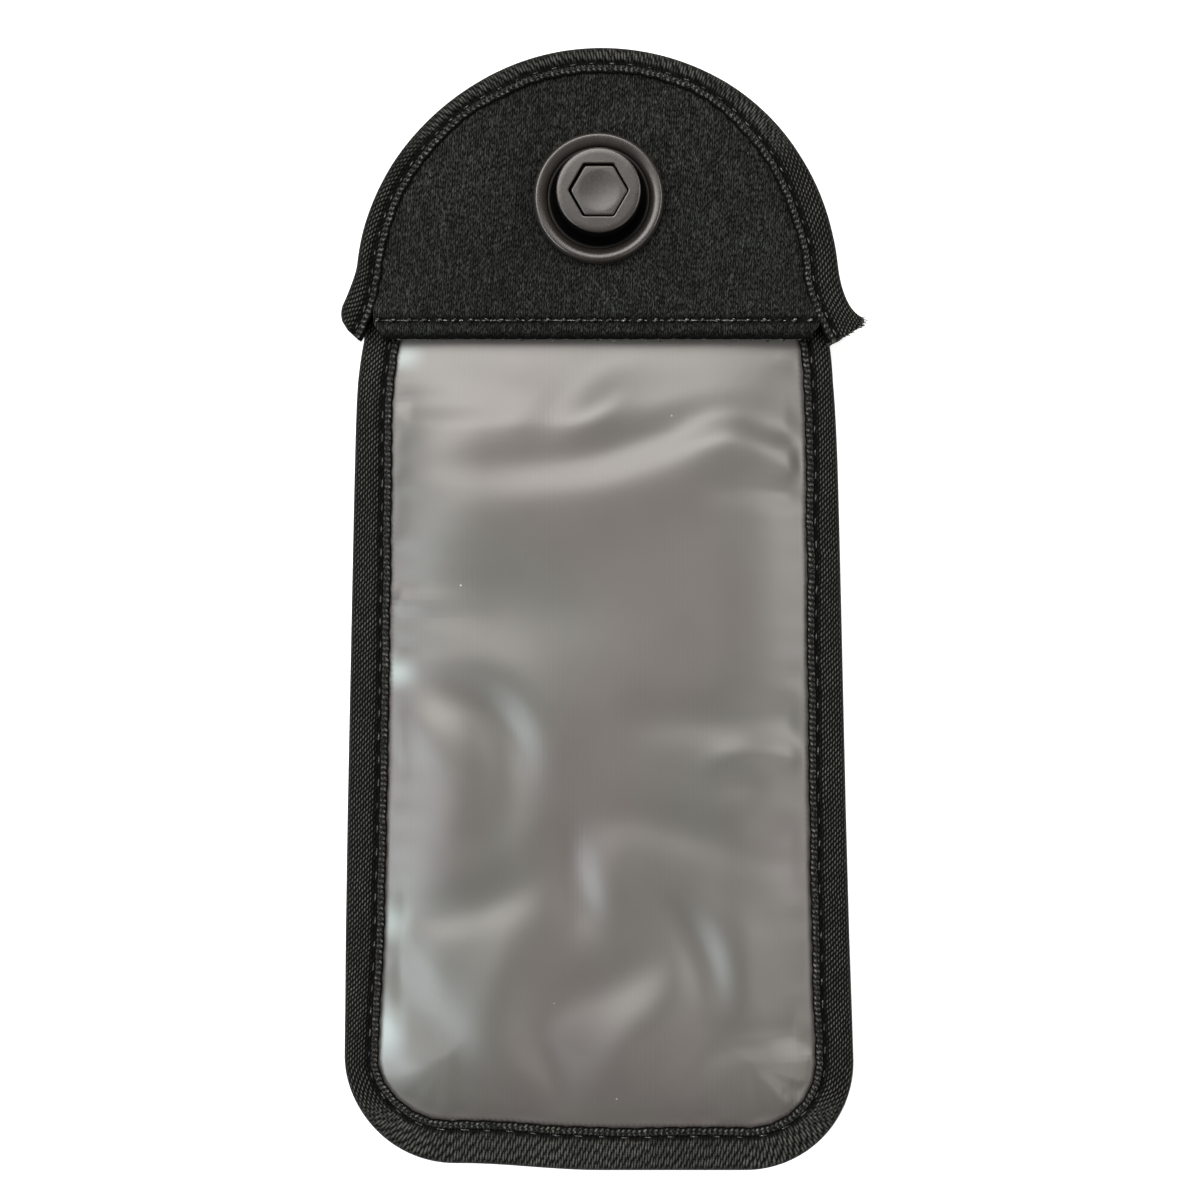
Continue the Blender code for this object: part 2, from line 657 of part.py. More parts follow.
def build_window_film():
    """Frosted film: clamped flat along its edges, standing up over the pocket in soft folds."""
    shape = bmesh.new()
    rows = film_half()
    for side in (1, -1):
        grid = []
        for row in rows:
            points = [film_point(Vector((side * place.x, place.y)), inward) for place, inward in row]
            grid.append([shape.verts.new(point) for point in points])
        for upper, lower in zip(grid, grid[1:]):
            for i in range(len(upper) - 1):
                corners = [upper[i], upper[i + 1], lower[i + 1], lower[i]]
                shape.faces.new(corners[::side])
    bmesh.ops.remove_doubles(shape, verts=shape.verts, dist=WELD)
    bmesh.ops.recalc_face_normals(shape, faces=shape.faces)
    if sum(face.normal.z for face in shape.faces) < 0:
        bmesh.ops.reverse_faces(shape, faces=shape.faces)
    mesh = bpy.data.meshes.new("window_film")
    shape.to_mesh(mesh)
    shape.free()
    smooth(mesh)
    film = add_object("window_film", mesh, FILM)
    shell = film.modifiers.new("thickness", "SOLIDIFY")
    shell.thickness = FILM_THICKNESS
    shell.offset = 1.0


# Lock

def build_flange():
    """Flange with its raised rim and the neck that is riveted over inside the flap."""
    crest = RIM_WALL_RADIUS + RIM_CREST_WIDTH
    rim_bevel = RIM_CREST_WIDTH / 3
    rivet = NECK_RADIUS + RIVET_REACH
    profile = [
        (RIM_WALL_RADIUS, RIM_TOP - rim_bevel),
        (RIM_WALL_RADIUS + rim_bevel, RIM_TOP),
        (crest, RIM_TOP),
        (FLANGE_RADIUS, FLANGE_BOTTOM + FLANGE_EDGE_HEIGHT),
        (FLANGE_RADIUS, FLANGE_BOTTOM + FLANGE_EDGE_BEVEL),
        (FLANGE_RADIUS - FLANGE_EDGE_BEVEL, FLANGE_BOTTOM),
        (NECK_RADIUS, FLANGE_BOTTOM),
        (NECK_RADIUS, RIVET_TOP),
        (rivet, RIVET_TOP),
        (rivet, RIVET_BOTTOM + FLANGE_EDGE_BEVEL),
        (rivet - FLANGE_EDGE_BEVEL, RIVET_BOTTOM),
        (BORE_RADIUS, RIVET_BOTTOM),
        (BORE_RADIUS, FLANGE_FLOOR),
        (RIM_WALL_RADIUS, FLANGE_FLOOR),
    ]
    turned("lock_flange", profile, LOCK_SHELL, ring=True)


def hex_radius(flats):
    """Distance from the middle to a corner of a hexagon, from its width across the flats."""
    return flats / 2 / math.cos(math.pi / 6)


def build_cap():
    """Cap over the clutch, with a hexagonal window in its top."""
    inner = CAP_RADIUS - CAP_WALL
    turns = np.linspace(0.0, math.pi / 2, ROUND_STEPS + 1)
    corner = CAP_RADIUS - CAP_EDGE_ROUND
    shoulder = CAP_TOP - CAP_EDGE_ROUND
    profile = [
        (0.0, CAP_TOP),
        *[(corner + CAP_EDGE_ROUND * math.sin(a), shoulder + CAP_EDGE_ROUND * math.cos(a)) for a in turns],
        (CAP_RADIUS, CAP_BOTTOM),
        (inner, CAP_BOTTOM),
        (inner, CAP_CEILING),
        (0.0, CAP_CEILING),
    ]
    cap = turned("lock_cap", profile, LOCK_SHELL)
    window = hex_radius(HEX_WINDOW)
    above = CAP_TOP + SEAT_GAP
    below = CAP_CEILING - SEAT_GAP
    window_profile = [(0.0, above), (window, above), (window, below), (0.0, below)]
    boolean(cap, turned("hex_window", window_profile, steps=HEX_TURN))


def build_core():
    """Core inside the cap: a drum with the clutch's cavity, and a hexagonal post in the window."""
    profile = [
        (0.0, CORE_SHOULDER),
        (CORE_RADIUS, CORE_SHOULDER),
        (CORE_RADIUS, CAP_BOTTOM),
        (0.0, CAP_BOTTOM),
    ]
    core = turned("hex_core", profile, LOCK_SHELL)
    post = hex_radius(POST_WIDTH)
    post_profile = [
        (0.0, POST_TOP),
        (post - HEX_CHAMFER, POST_TOP),
        (post, POST_TOP - HEX_CHAMFER),
        (post, CORE_SHOULDER - SEAT_GAP),
        (0.0, CORE_SHOULDER - SEAT_GAP),
    ]
    boolean(core, turned("hex_post", post_profile, steps=HEX_TURN), "UNION")
    below = CAP_BOTTOM - SEAT_GAP
    boolean(core, drum("clutch_cavity", CAVITY_RADIUS, below, CAVITY_CEILING, SMALL_TURN))
    shares = np.linspace(DISH_OVERREACH, 0.0, DISH_STEPS + 1)
    bowl = [(DISH_RADIUS * share, POST_TOP - DISH_DEPTH * (1 - share ** 2)) for share in shares]
    boolean(core, turned("dish", [(0.0, bowl[0][1])] + bowl, steps=SMALL_TURN))


def ring(name, inner, outer, bottom, top, material, steps=LARGE_TURN):
    """Flat ring on the lock's axis."""
    profile = [(outer, top), (outer, bottom), (inner, bottom), (inner, top)]
    turned(name, profile, material, steps, ring=True)


def build_washers():
    """Washer under the flap that the neck is riveted on, and washer pressed on the pin."""
    bottom = FRONT_WASHER_TOP - WASHER_THICKNESS
    ring("front_washer", NECK_RADIUS + SEAT_GAP, FRONT_WASHER_RADIUS, bottom, FRONT_WASHER_TOP, STEEL)
    top = BACK_WASHER_BOTTOM + WASHER_THICKNESS
    ring("back_washer", BORE_RADIUS, BACK_WASHER_RADIUS, BACK_WASHER_BOTTOM, top, STEEL)


def build_clutch():
    """Cone that wedges the balls, the cage that carries them, the balls and the spring."""
    outer = CAVITY_RADIUS - SEAT_GAP
    cone_profile = [
        (outer, CONE_TOP),
        (outer, CAP_BOTTOM),
        (BORE_RADIUS, CAP_BOTTOM),
        (BORE_RADIUS, CONE_SEAT),
        (CONE_THROAT, CONE_SEAT),
        (CONE_MOUTH, CONE_TOP),
    ]
    turned("clutch_cone", cone_profile, STEEL, SMALL_TURN, ring=True)

    cage_profile = [
        (CAGE_HEAD_RADIUS, CAGE_HEAD_TOP),
        (CAGE_HEAD_RADIUS, CAGE_HEAD_BOTTOM),
        (CAGE_SLEEVE_RADIUS, CAGE_HEAD_BOTTOM),
        (CAGE_SLEEVE_RADIUS, CAGE_FOOT),
        (BORE_RADIUS, CAGE_FOOT),
        (BORE_RADIUS, CAGE_HEAD_TOP),
    ]
    cage = turned("ball_cage", cage_profile, STEEL, SMALL_TURN, ring=True)
    for number in range(BALL_COUNT):
        angle = math.pi / 2 + number * 2 * math.pi / BALL_COUNT
        outward = Vector((math.cos(angle), math.sin(angle), 0.0))
        ball_centre = LOCK_CENTRE + outward * BALL_ORBIT + Vector((0.0, 0.0, BALL_Z))
        boolean(cage, ball_pocket(f"ball_pocket_{number + 1}", ball_centre, outward))
        build_ball(f"ball_{number + 1}", ball_centre)
    build_spring()


def ball_pocket(name, centre, outward):
    """Cutter for one ball's pocket, a radial drum through the cage's sleeve."""
    shape = bmesh.new()
    radius = BALL_RADIUS + BALL_PLAY
    depth = 2 * (CAGE_SLEEVE_RADIUS - BORE_RADIUS + SEAT_GAP)
    bmesh.ops.create_cone(
        shape, cap_ends=True, segments=SMALL_TURN, radius1=radius, radius2=radius, depth=depth
    )
    mesh = bpy.data.meshes.new(name)
    shape.to_mesh(mesh)
    shape.free()
    item = add_object(name, mesh)
    item.location = centre
    item.rotation_euler = outward.to_track_quat("Z", "Y").to_euler()
    return item


def build_ball(name, centre):
    """One clutch ball, with its origin at its centre."""
    shape = bmesh.new()
    bmesh.ops.create_uvsphere(shape, u_segments=12, v_segments=8, radius=BALL_RADIUS)
    mesh = bpy.data.meshes.new(name)
    shape.to_mesh(mesh)
    shape.free()
    mesh.shade_smooth()
    item = add_object(name, mesh, STEEL)
    item.location = centre


def build_spring():
    """Compression spring between the cage's head and the cavity's ceiling."""
    bottom = SPRING_BOTTOM + SPRING_WIRE / 2
    top = SPRING_TOP - SPRING_WIRE / 2
    route = []
    for step in range(int(SPRING_TURNS * SPRING_STEPS) + 1):
        share = step / int(SPRING_TURNS * SPRING_STEPS)
        turn = share * SPRING_TURNS * 2 * math.pi
        x = SPRING_RADIUS * math.cos(turn)
        y = SPRING_RADIUS * math.sin(turn)
        route.append((x, y, bottom + (top - bottom) * share))
    spring = tube("clutch_spring", route, SPRING_WIRE / 2, STEEL)
    spring.location = LOCK_CENTRE


def build_pin():
    """Pin through both panels, with shallow grooves where the balls grip, and its back button."""
    groove_run = GROOVE_PITCH / 4
    shaft = [(0.0, PIN_TIP), (PIN_RADIUS / 2, PIN_TIP), (PIN_RADIUS, PIN_TIP - PIN_POINT)]
    for number in range(GROOVE_COUNT):
        middle = BALL_Z + GROOVE_PITCH * ((GROOVE_COUNT - 1) / 2 - number)
        shaft.append((PIN_RADIUS, middle + groove_run))
        shaft.append((PIN_RADIUS - GROOVE_DEPTH, middle))
        shaft.append((PIN_RADIUS, middle - groove_run))
    profile = shaft + [
        (PIN_RADIUS, BUTTON_THICKNESS),
        (PIN_HEAD_RADIUS, BUTTON_THICKNESS),
        (PIN_HEAD_RADIUS, PIN_HEAD_BOTTOM),
        (0.0, PIN_HEAD_BOTTOM),
    ]
    turned("pin", profile, STEEL, SMALL_TURN)

    pocket = PIN_HEAD_RADIUS + SEAT_GAP
    button_profile = [
        (0.0, BUTTON_POCKET_FLOOR),
        (pocket, BUTTON_POCKET_FLOOR),
        (pocket, BUTTON_THICKNESS),
        (BUTTON_RADIUS, BUTTON_THICKNESS),
        (BUTTON_RADIUS, BUTTON_BEVEL),
        (BUTTON_RADIUS - BUTTON_BEVEL, 0.0),
        (0.0, 0.0),
    ]
    turned("pin_button", button_profile, BUTTON_PLASTIC)


build_back_panel()
build_front_flap()
build_window_film()
build_bindings()
build_flange()
build_cap()
build_core()
build_washers()
build_clutch()
build_pin()
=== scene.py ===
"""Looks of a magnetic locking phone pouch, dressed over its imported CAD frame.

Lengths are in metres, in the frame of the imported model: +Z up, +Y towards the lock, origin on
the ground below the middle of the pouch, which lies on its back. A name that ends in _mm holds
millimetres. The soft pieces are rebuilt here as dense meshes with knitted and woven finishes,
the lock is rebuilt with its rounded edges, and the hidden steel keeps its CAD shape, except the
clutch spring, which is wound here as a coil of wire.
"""

from __future__ import annotations

import logging
import math
import sys
from dataclasses import dataclass, field
from enum import Enum
from typing import Any

import bmesh
import bpy
import numpy as np
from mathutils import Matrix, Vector, geometry


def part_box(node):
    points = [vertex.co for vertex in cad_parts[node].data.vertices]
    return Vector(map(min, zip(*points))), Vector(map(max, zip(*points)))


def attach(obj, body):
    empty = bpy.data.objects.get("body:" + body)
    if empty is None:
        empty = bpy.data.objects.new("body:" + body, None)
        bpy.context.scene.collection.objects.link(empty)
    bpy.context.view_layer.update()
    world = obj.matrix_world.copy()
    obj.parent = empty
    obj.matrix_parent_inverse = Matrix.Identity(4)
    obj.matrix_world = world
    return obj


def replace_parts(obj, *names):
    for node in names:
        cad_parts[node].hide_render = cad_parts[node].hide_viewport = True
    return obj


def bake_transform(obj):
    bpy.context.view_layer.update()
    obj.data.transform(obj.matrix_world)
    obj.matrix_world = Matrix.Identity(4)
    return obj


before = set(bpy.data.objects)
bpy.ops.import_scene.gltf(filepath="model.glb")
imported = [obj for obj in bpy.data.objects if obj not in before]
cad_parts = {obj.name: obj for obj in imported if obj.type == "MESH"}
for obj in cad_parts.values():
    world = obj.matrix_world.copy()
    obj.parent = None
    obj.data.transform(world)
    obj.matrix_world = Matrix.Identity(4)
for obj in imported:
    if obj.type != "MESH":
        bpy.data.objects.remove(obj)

log = logging.getLogger("pouch")

Colour = tuple[float, float, float]

MM = 0.001
POUCH_BODY = "pouch"


class Slot(Enum):
    """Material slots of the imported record."""

    NEOPRENE = "neoprene"
    TAPE = "binding_tape"
    THREAD = "thread"
    FILM = "film"
    SHELL = "lock_shell"
    BUTTON = "button_plastic"
    STEEL = "steel"


class Side(Enum):
    """Sides of the pouch, by the sign of X."""

    RIGHT = 1
    LEFT = -1


class Twill(Enum):
    """Way the yarns of a tape lean, seen along the tape."""

    TOWARDS_LIP = 1
    TOWARDS_FOLD = -1


# Shapes worked out as numbers


def ease(share: np.ndarray | float) -> np.ndarray:
    """Smooth step from 0 to 1, level at both ends."""
    clipped = np.clip(share, 0.0, 1.0)
    return clipped * clipped * (3 - 2 * clipped)


def bell(distance: np.ndarray, reach: float) -> np.ndarray:
    """Bell curve of height 1 that fades over a reach."""
    return np.exp(-((distance / reach) ** 2))


@dataclass(frozen=True)
class Ripple:
    """Smooth unevenness of sewn cloth, a sum of sine waves in seeded directions."""

    seed: int
    wavelength: float
    height: float
    waves: int = 7

    def at(self, x: np.ndarray, y: np.ndarray) -> np.ndarray:
        """Height of the unevenness at places in plan.

        Args:
            x: Places along X.
            y: Places along Y.

        Returns:
            The height at each place.
        """
        dice = np.random.default_rng(self.seed)
        total = np.zeros(np.broadcast(x, y).shape)
        for _ in range(self.waves):
            heading, phase = dice.uniform(0.0, 2 * math.pi, 2)
            length = self.wavelength * dice.uniform(0.6, 1.7)
            along = x * math.cos(heading) + y * math.sin(heading)
            total += np.sin(along * 2 * math.pi / length + phase)
        return total * self.height / math.sqrt(self.waves)


@dataclass
class Rails:
    """Outer edge and lip of a folded tape in plan, station by station."""

    outer: np.ndarray
    inner: np.ndarray
    along: np.ndarray = field(default_factory=lambda: np.zeros(0))

    def spaced(self, step: float, seam_inset: float) -> Rails:
        """Even out the stations along the tape's seam.

        Args:
            step: Distance between stations along the seam.
            seam_inset: Distance of the seam from the lip.

        Returns:
            Rails with even stations, with each station's distance along the seam.
        """
        inward = self.inner - self.outer
        inward /= np.linalg.norm(inward, axis=1, keepdims=True)
        seam = self.inner - inward * seam_inset
        lengths = np.linalg.norm(np.diff(seam, axis=0), axis=1)
        run = np.concatenate([[0.0], np.cumsum(lengths)])
        at = np.linspace(0.0, run[-1], max(2, int(round(run[-1] / step)) + 1))
        lines = (self.outer, self.inner)
        even = [np.stack([np.interp(at, run, line[:, k]) for k in (0, 1)], axis=1) for line in lines]
        return Rails(*even, at)

    def inward(self) -> np.ndarray:
        """Unit vectors from the outer edge to the lip."""
        step = self.inner - self.outer
        return step / np.linalg.norm(step, axis=1, keepdims=True)

    def width(self) -> np.ndarray:
        """Distance from the outer edge to the lip at each station."""
        return np.linalg.norm(self.inner - self.outer, axis=1)


@dataclass(frozen=True)
class Plan:
    """The pouch seen from above and its stack of heights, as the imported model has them."""

    length: float = 0.224
    arc_end_degrees: float = 86.5
    flap_radius: float = 0.048
    foot_flare: float = 0.0031
    corner_radius: float = 0.022
    neck_tuck: float = 0.0013
    neck_fade: float = 0.008
    neoprene: float = 0.002
    film: float = 0.0004
    gap: float = 0.0003
    tape: float = 0.00065
    foot_tape_width: float = 0.009
    flap_tape_width: float = 0.0053
    seam_inset: float = 0.0018
    roll_depth: float = 0.0018
    lip_angles: tuple[float, ...] = (0.0, 20.0, 36.0, 47.0, 57.0, 66.0)
    right_lip_spread: tuple[float, ...] = (0.0018, 0.0019, 0.0014, 0.0010, 0.0003, 0.0)
    tail_start: float = 0.0052
    tail_ends: dict[Side, tuple[tuple[float, float], tuple[float, float]]] = field(
        default_factory=lambda: {
            Side.RIGHT: ((0.0546, 0.0580), (0.0462, 0.0529)),
            Side.LEFT: ((0.0519, 0.0580), (0.0468, 0.0537)),
        }
    )
    tail_bends: dict[Side, float] = field(default_factory=lambda: {Side.RIGHT: 0.82, Side.LEFT: 0.25})
    tail_corner_round: float = 0.0032
    hem_drop: float = 0.0098
    lock_from_top: float = 0.0301
    line_points: int = 260

    @property
    def top_y(self) -> float:
        """Top of the flap's arc."""
        return self.length / 2

    @property
    def foot_y(self) -> float:
        """Foot edge of the pouch."""
        return -self.length / 2

    @property
    def flap_centre_y(self) -> float:
        """Centre of the flap's arc."""
        return self.top_y - self.flap_radius

    @property
    def lock_y(self) -> float:
        """Axis of the lock."""
        return self.top_y - self.lock_from_top

    @property
    def hem_y(self) -> float:
        """Fold of the flap's hem."""
        return self.flap_centre_y - self.hem_drop

    @property
    def join_y(self) -> float:
        """Height where the body's binding meets the back flap's."""
        return self.hem_y + 0.003

    @property
    def corner_y(self) -> float:
        """Centre of the foot's round corners."""
        return self.foot_y + self.corner_radius

    @property
    def corner_x(self) -> float:
        """Centre of the right foot corner."""
        return self.flap_radius + self.foot_flare - self.corner_radius

    @property
    def tail_angle(self) -> float:
        """Angle on the flap's arc where the front binding's tails leave it."""
        return math.asin(self.tail_start / self.flap_radius)

    @property
    def back_bottom(self) -> float:
        """Underside of the back panel."""
        return self.tape + self.gap

    @property
    def back_top(self) -> float:
        """Upper face of the back panel."""
        return self.back_bottom + self.neoprene

    @property
    def film_edge(self) -> float:
        """Underside of the film where the tape clamps it."""
        return self.back_top + self.gap

    @property
    def body_tape_top(self) -> float:
        """Upper face of the body's binding."""
        return self.film_edge + self.film + self.gap + self.tape

    @property
    def back_tape_top(self) -> float:
        """Upper face of the back flap's binding."""
        return self.back_top + self.gap + self.tape

    @property
    def front_tape_bottom(self) -> float:
        """Underside of the front flap's binding."""
        return self.body_tape_top + self.gap

    @property
    def front_bottom(self) -> float:
        """Underside of the front flap's sheet."""
        return self.front_tape_bottom + self.tape + self.gap

    @property
    def front_top(self) -> float:
        """Upper face of the front flap's sheet."""
        return self.front_bottom + self.neoprene

    @property
    def front_tape_top(self) -> float:
        """Upper face of the front flap's binding."""
        return self.front_top + self.gap + self.tape

    def side_half_width(self, y: np.ndarray) -> np.ndarray:
        """Outer half-width of the body beside the window.

        Args:
            y: Heights of the sides.

        Returns:
            The half-width at each height.
        """
        share = (self.hem_y - y) / (self.hem_y - self.corner_y)
        tuck = self.neck_tuck * np.exp(np.minimum(y - self.hem_y, 0.0) / self.neck_fade)
        return self.flap_radius + self.foot_flare * share - tuck

    def body_half_width(self, y: np.ndarray, inset: float) -> np.ndarray:
        """Half-width of the body inside its edge, its round foot corners included.

        Args:
            y: Places along Y.
            inset: Distance inside the edge.

        Returns:
            The half-width at each place.
        """
        radius = self.corner_radius - inset
        below = np.minimum(y - self.corner_y, 0.0)
        corner = self.corner_x + np.sqrt(np.maximum(radius**2 - below**2, 0.0))
        side = self.side_half_width(np.maximum(y, self.corner_y)) - inset
        return np.where(y < self.corner_y, corner, side)

    def arc_half_width(self, y: np.ndarray, inset: float) -> np.ndarray:
        """Half-width of the flap's half-disc inside its edge.

        Args:
            y: Places along Y.
            inset: Distance inside the edge.

        Returns:
            The half-width at each place.
        """
        radius = self.flap_radius - inset
        rise = np.maximum(y - self.flap_centre_y, 0.0)
        return np.sqrt(np.maximum(radius**2 - rise**2, 0.0))

    def side_lip_inset(self, side: Side, y: np.ndarray) -> np.ndarray:
        """Width that the sewer left the tape on a side of the window.

        Args:
            side: Which side of the pouch.
            y: Heights of that side.

        Returns:
            Distance of the lip from the outer edge at each height.
        """
        heights = np.array([-0.090, -0.080, -0.062, -0.030, 0.0, 0.025, 0.046, 0.057])
        left = np.array([0.0070, 0.0074, 0.0080, 0.0081, 0.0080, 0.0077, 0.0074, 0.0073])
        right = np.array([0.0078, 0.0079, 0.0078, 0.0075, 0.0071, 0.0067, 0.0063, 0.0063])
        return np.interp(y, heights, left if side is Side.LEFT else right)

    def body_half(self, side: Side, top_y: float) -> Rails:
        """Rails of one side of the body, from its top round the corner to the foot's middle.

        Args:
            side: Which side of the pouch.
            top_y: Height where the rails start.

        Returns:
            The rails, before they are evened out.
        """
        ys = np.linspace(top_y, self.corner_y, self.line_points)
        edge = self.side_half_width(ys)
        lip_inset = self.side_lip_inset(side, ys)
        turn = np.linspace(0.0, math.pi / 2, self.line_points // 2)[1:]
        blend = ease(turn / (math.pi / 2))
        inset = lip_inset[-1] + (self.foot_tape_width - lip_inset[-1]) * blend
        arc = np.stack([np.cos(turn), -np.sin(turn)], axis=1)
        centre = np.array([self.corner_x, self.corner_y])
        foot_x = np.linspace(self.corner_x, 0.0, self.line_points // 3)[1:]
        outer = np.concatenate([
            np.stack([edge, ys], axis=1),
            centre + arc * self.corner_radius,
            np.stack([foot_x, np.full_like(foot_x, self.foot_y)], axis=1),
        ])
        inner = np.concatenate([
            np.stack([edge - lip_inset, ys], axis=1),
            centre + arc * (self.corner_radius - inset)[:, None],
            np.stack([foot_x, np.full_like(foot_x, self.foot_y + self.foot_tape_width)], axis=1),
        ])
        mirror = np.array([side.value, 1.0])
        return Rails(outer * mirror, inner * mirror)

    def body_rails(self, top_y: float) -> Rails:
        """Rails of the body's binding, down the right side, along the foot and up the left.

        Args:
            top_y: Height where the tape starts and ends.

        Returns:
            The rails, before they are evened out.
        """
        right, left = self.body_half(Side.RIGHT, top_y), self.body_half(Side.LEFT, top_y)
        return Rails(
            np.concatenate([right.outer, left.outer[-2::-1]]),
            np.concatenate([right.inner, left.inner[-2::-1]]),
        )

    def arc_points(self, radius: np.ndarray | float, angles: np.ndarray) -> np.ndarray:
        """Points about the flap's centre, at one radius or at one for each angle."""
        centre = np.array([0.0, self.flap_centre_y])
        return centre + np.reshape(radius, (-1, 1)) * np.stack([np.cos(angles), np.sin(angles)], axis=1)

    def tail_points(self, end: np.ndarray, radius: float, bend: float) -> np.ndarray:
        """Edge of a tail, seen as on the right, from its cut end up to the arc.

        Args:
            end: Where the edge meets the cut.
            radius: Radius of the arc that the edge leaves.
            bend: Share of the tail that runs on straight before it turns out.

        Returns:
            Points along the edge.
        """
        start = self.arc_points(radius, np.array([self.tail_angle]))[0]
        along = np.array([math.sin(self.tail_angle), -math.cos(self.tail_angle)])
        handle = start + along * np.linalg.norm(end - start) * bend
        share = np.linspace(0.0, 1.0, self.line_points // 4, endpoint=False)[:, None]
        return end * (1 - share) ** 2 + handle * 2 * share * (1 - share) + start * share**2

    def front_arc_rails(self) -> Rails:
        """Rails of the front flap's binding, from the right tail over the arc to the left.

        Returns:
            The rails, before they are evened out.
        """
        angles = np.linspace(self.tail_angle, math.pi / 2, self.line_points)
        spread = np.interp(np.degrees(angles), self.lip_angles, self.right_lip_spread)
        lines = []
        for line, width in enumerate((0.0, self.flap_tape_width)):
            halves = []
            for side in (Side.RIGHT, Side.LEFT):
                end = np.array(self.tail_ends[side][line])
                wider = spread if line and side is Side.RIGHT else spread * 0.0
                radius = self.flap_radius - width - wider
                tail = self.tail_points(end, float(radius[0]), 0.5 if line else self.tail_bends[side])
                half = np.concatenate([tail, self.arc_points(radius, angles)])
                halves.append(half * np.array([side.value, 1.0]))
            lines.append(np.concatenate([halves[0], halves[1][-2::-1]]))
        return Rails(*lines)

    def back_arc_rails(self, end_y: float) -> Rails:
        """Rails of the back flap's binding, from the neck on the right to the neck on the left.

        Args:
            end_y: Height of the tape's ends at the neck.

        Returns:
            The rails, before they are evened out.
        """
        angles = np.linspace(0.0, math.pi / 2, self.line_points)
        ys = np.linspace(end_y, self.flap_centre_y, self.line_points // 6, endpoint=False)
        share = ease((ys - end_y) / (self.flap_centre_y - end_y))
        neck = float(self.side_half_width(np.array(end_y)))
        halves = []
        for inset in (0.0, self.flap_tape_width):
            xs = neck + (self.flap_radius - neck) * share - inset
            arc = self.arc_points(self.flap_radius - inset, angles)
            half = np.concatenate([np.stack([xs, ys], axis=1), arc])
            halves.append(np.concatenate([half, half[-2::-1] * np.array([-1.0, 1.0])]))
        return Rails(*halves)


@dataclass(frozen=True)
class Lean:
    """Slight lean of the sewn pouch out of true, which all its soft pieces share."""

    heights_mm: tuple[float, ...] = (-112, -100, -80, -65, -40, 0, 30, 46, 54, 62, 76, 90, 98, 105, 112)
    shifts_mm: tuple[float, ...] = (
        0.3, 0.2, 0.0, -0.2, -0.35, -0.4, -0.45, -0.6, -0.4, -0.2, -0.2, 0.1, 0.45, 0.7, 0.6,
    )
    foot_rise: float = 0.0014
    foot_rise_reach: float = 0.028
    foot_rise_start: float = -0.068
    foot_rise_fade: float = 0.036

    def applied(self, points: np.ndarray) -> np.ndarray:
        """Move points of a soft piece to where the real one leans.

        Args:
            points: Points in the last axis's three numbers.

        Returns:
            The moved points.
        """
        moved = points.copy()
        x, y = points[..., 0], points[..., 1]
        moved[..., 0] += np.interp(y / MM, self.heights_mm, self.shifts_mm) * MM
        low = ease((self.foot_rise_start - y) / self.foot_rise_fade)
        moved[..., 1] += self.foot_rise * ease(-x / self.foot_rise_reach) * low
        return moved


# Meshes


def added(name: str, data: bpy.types.ID) -> bpy.types.Object:
    """Add an object to the scene.

    Args:
        name: Name of the object.
        data: Its mesh, lamp or lens.

    Returns:
        The new object.
    """
    item = bpy.data.objects.new(name, data)
    bpy.context.scene.collection.objects.link(item)
    return item


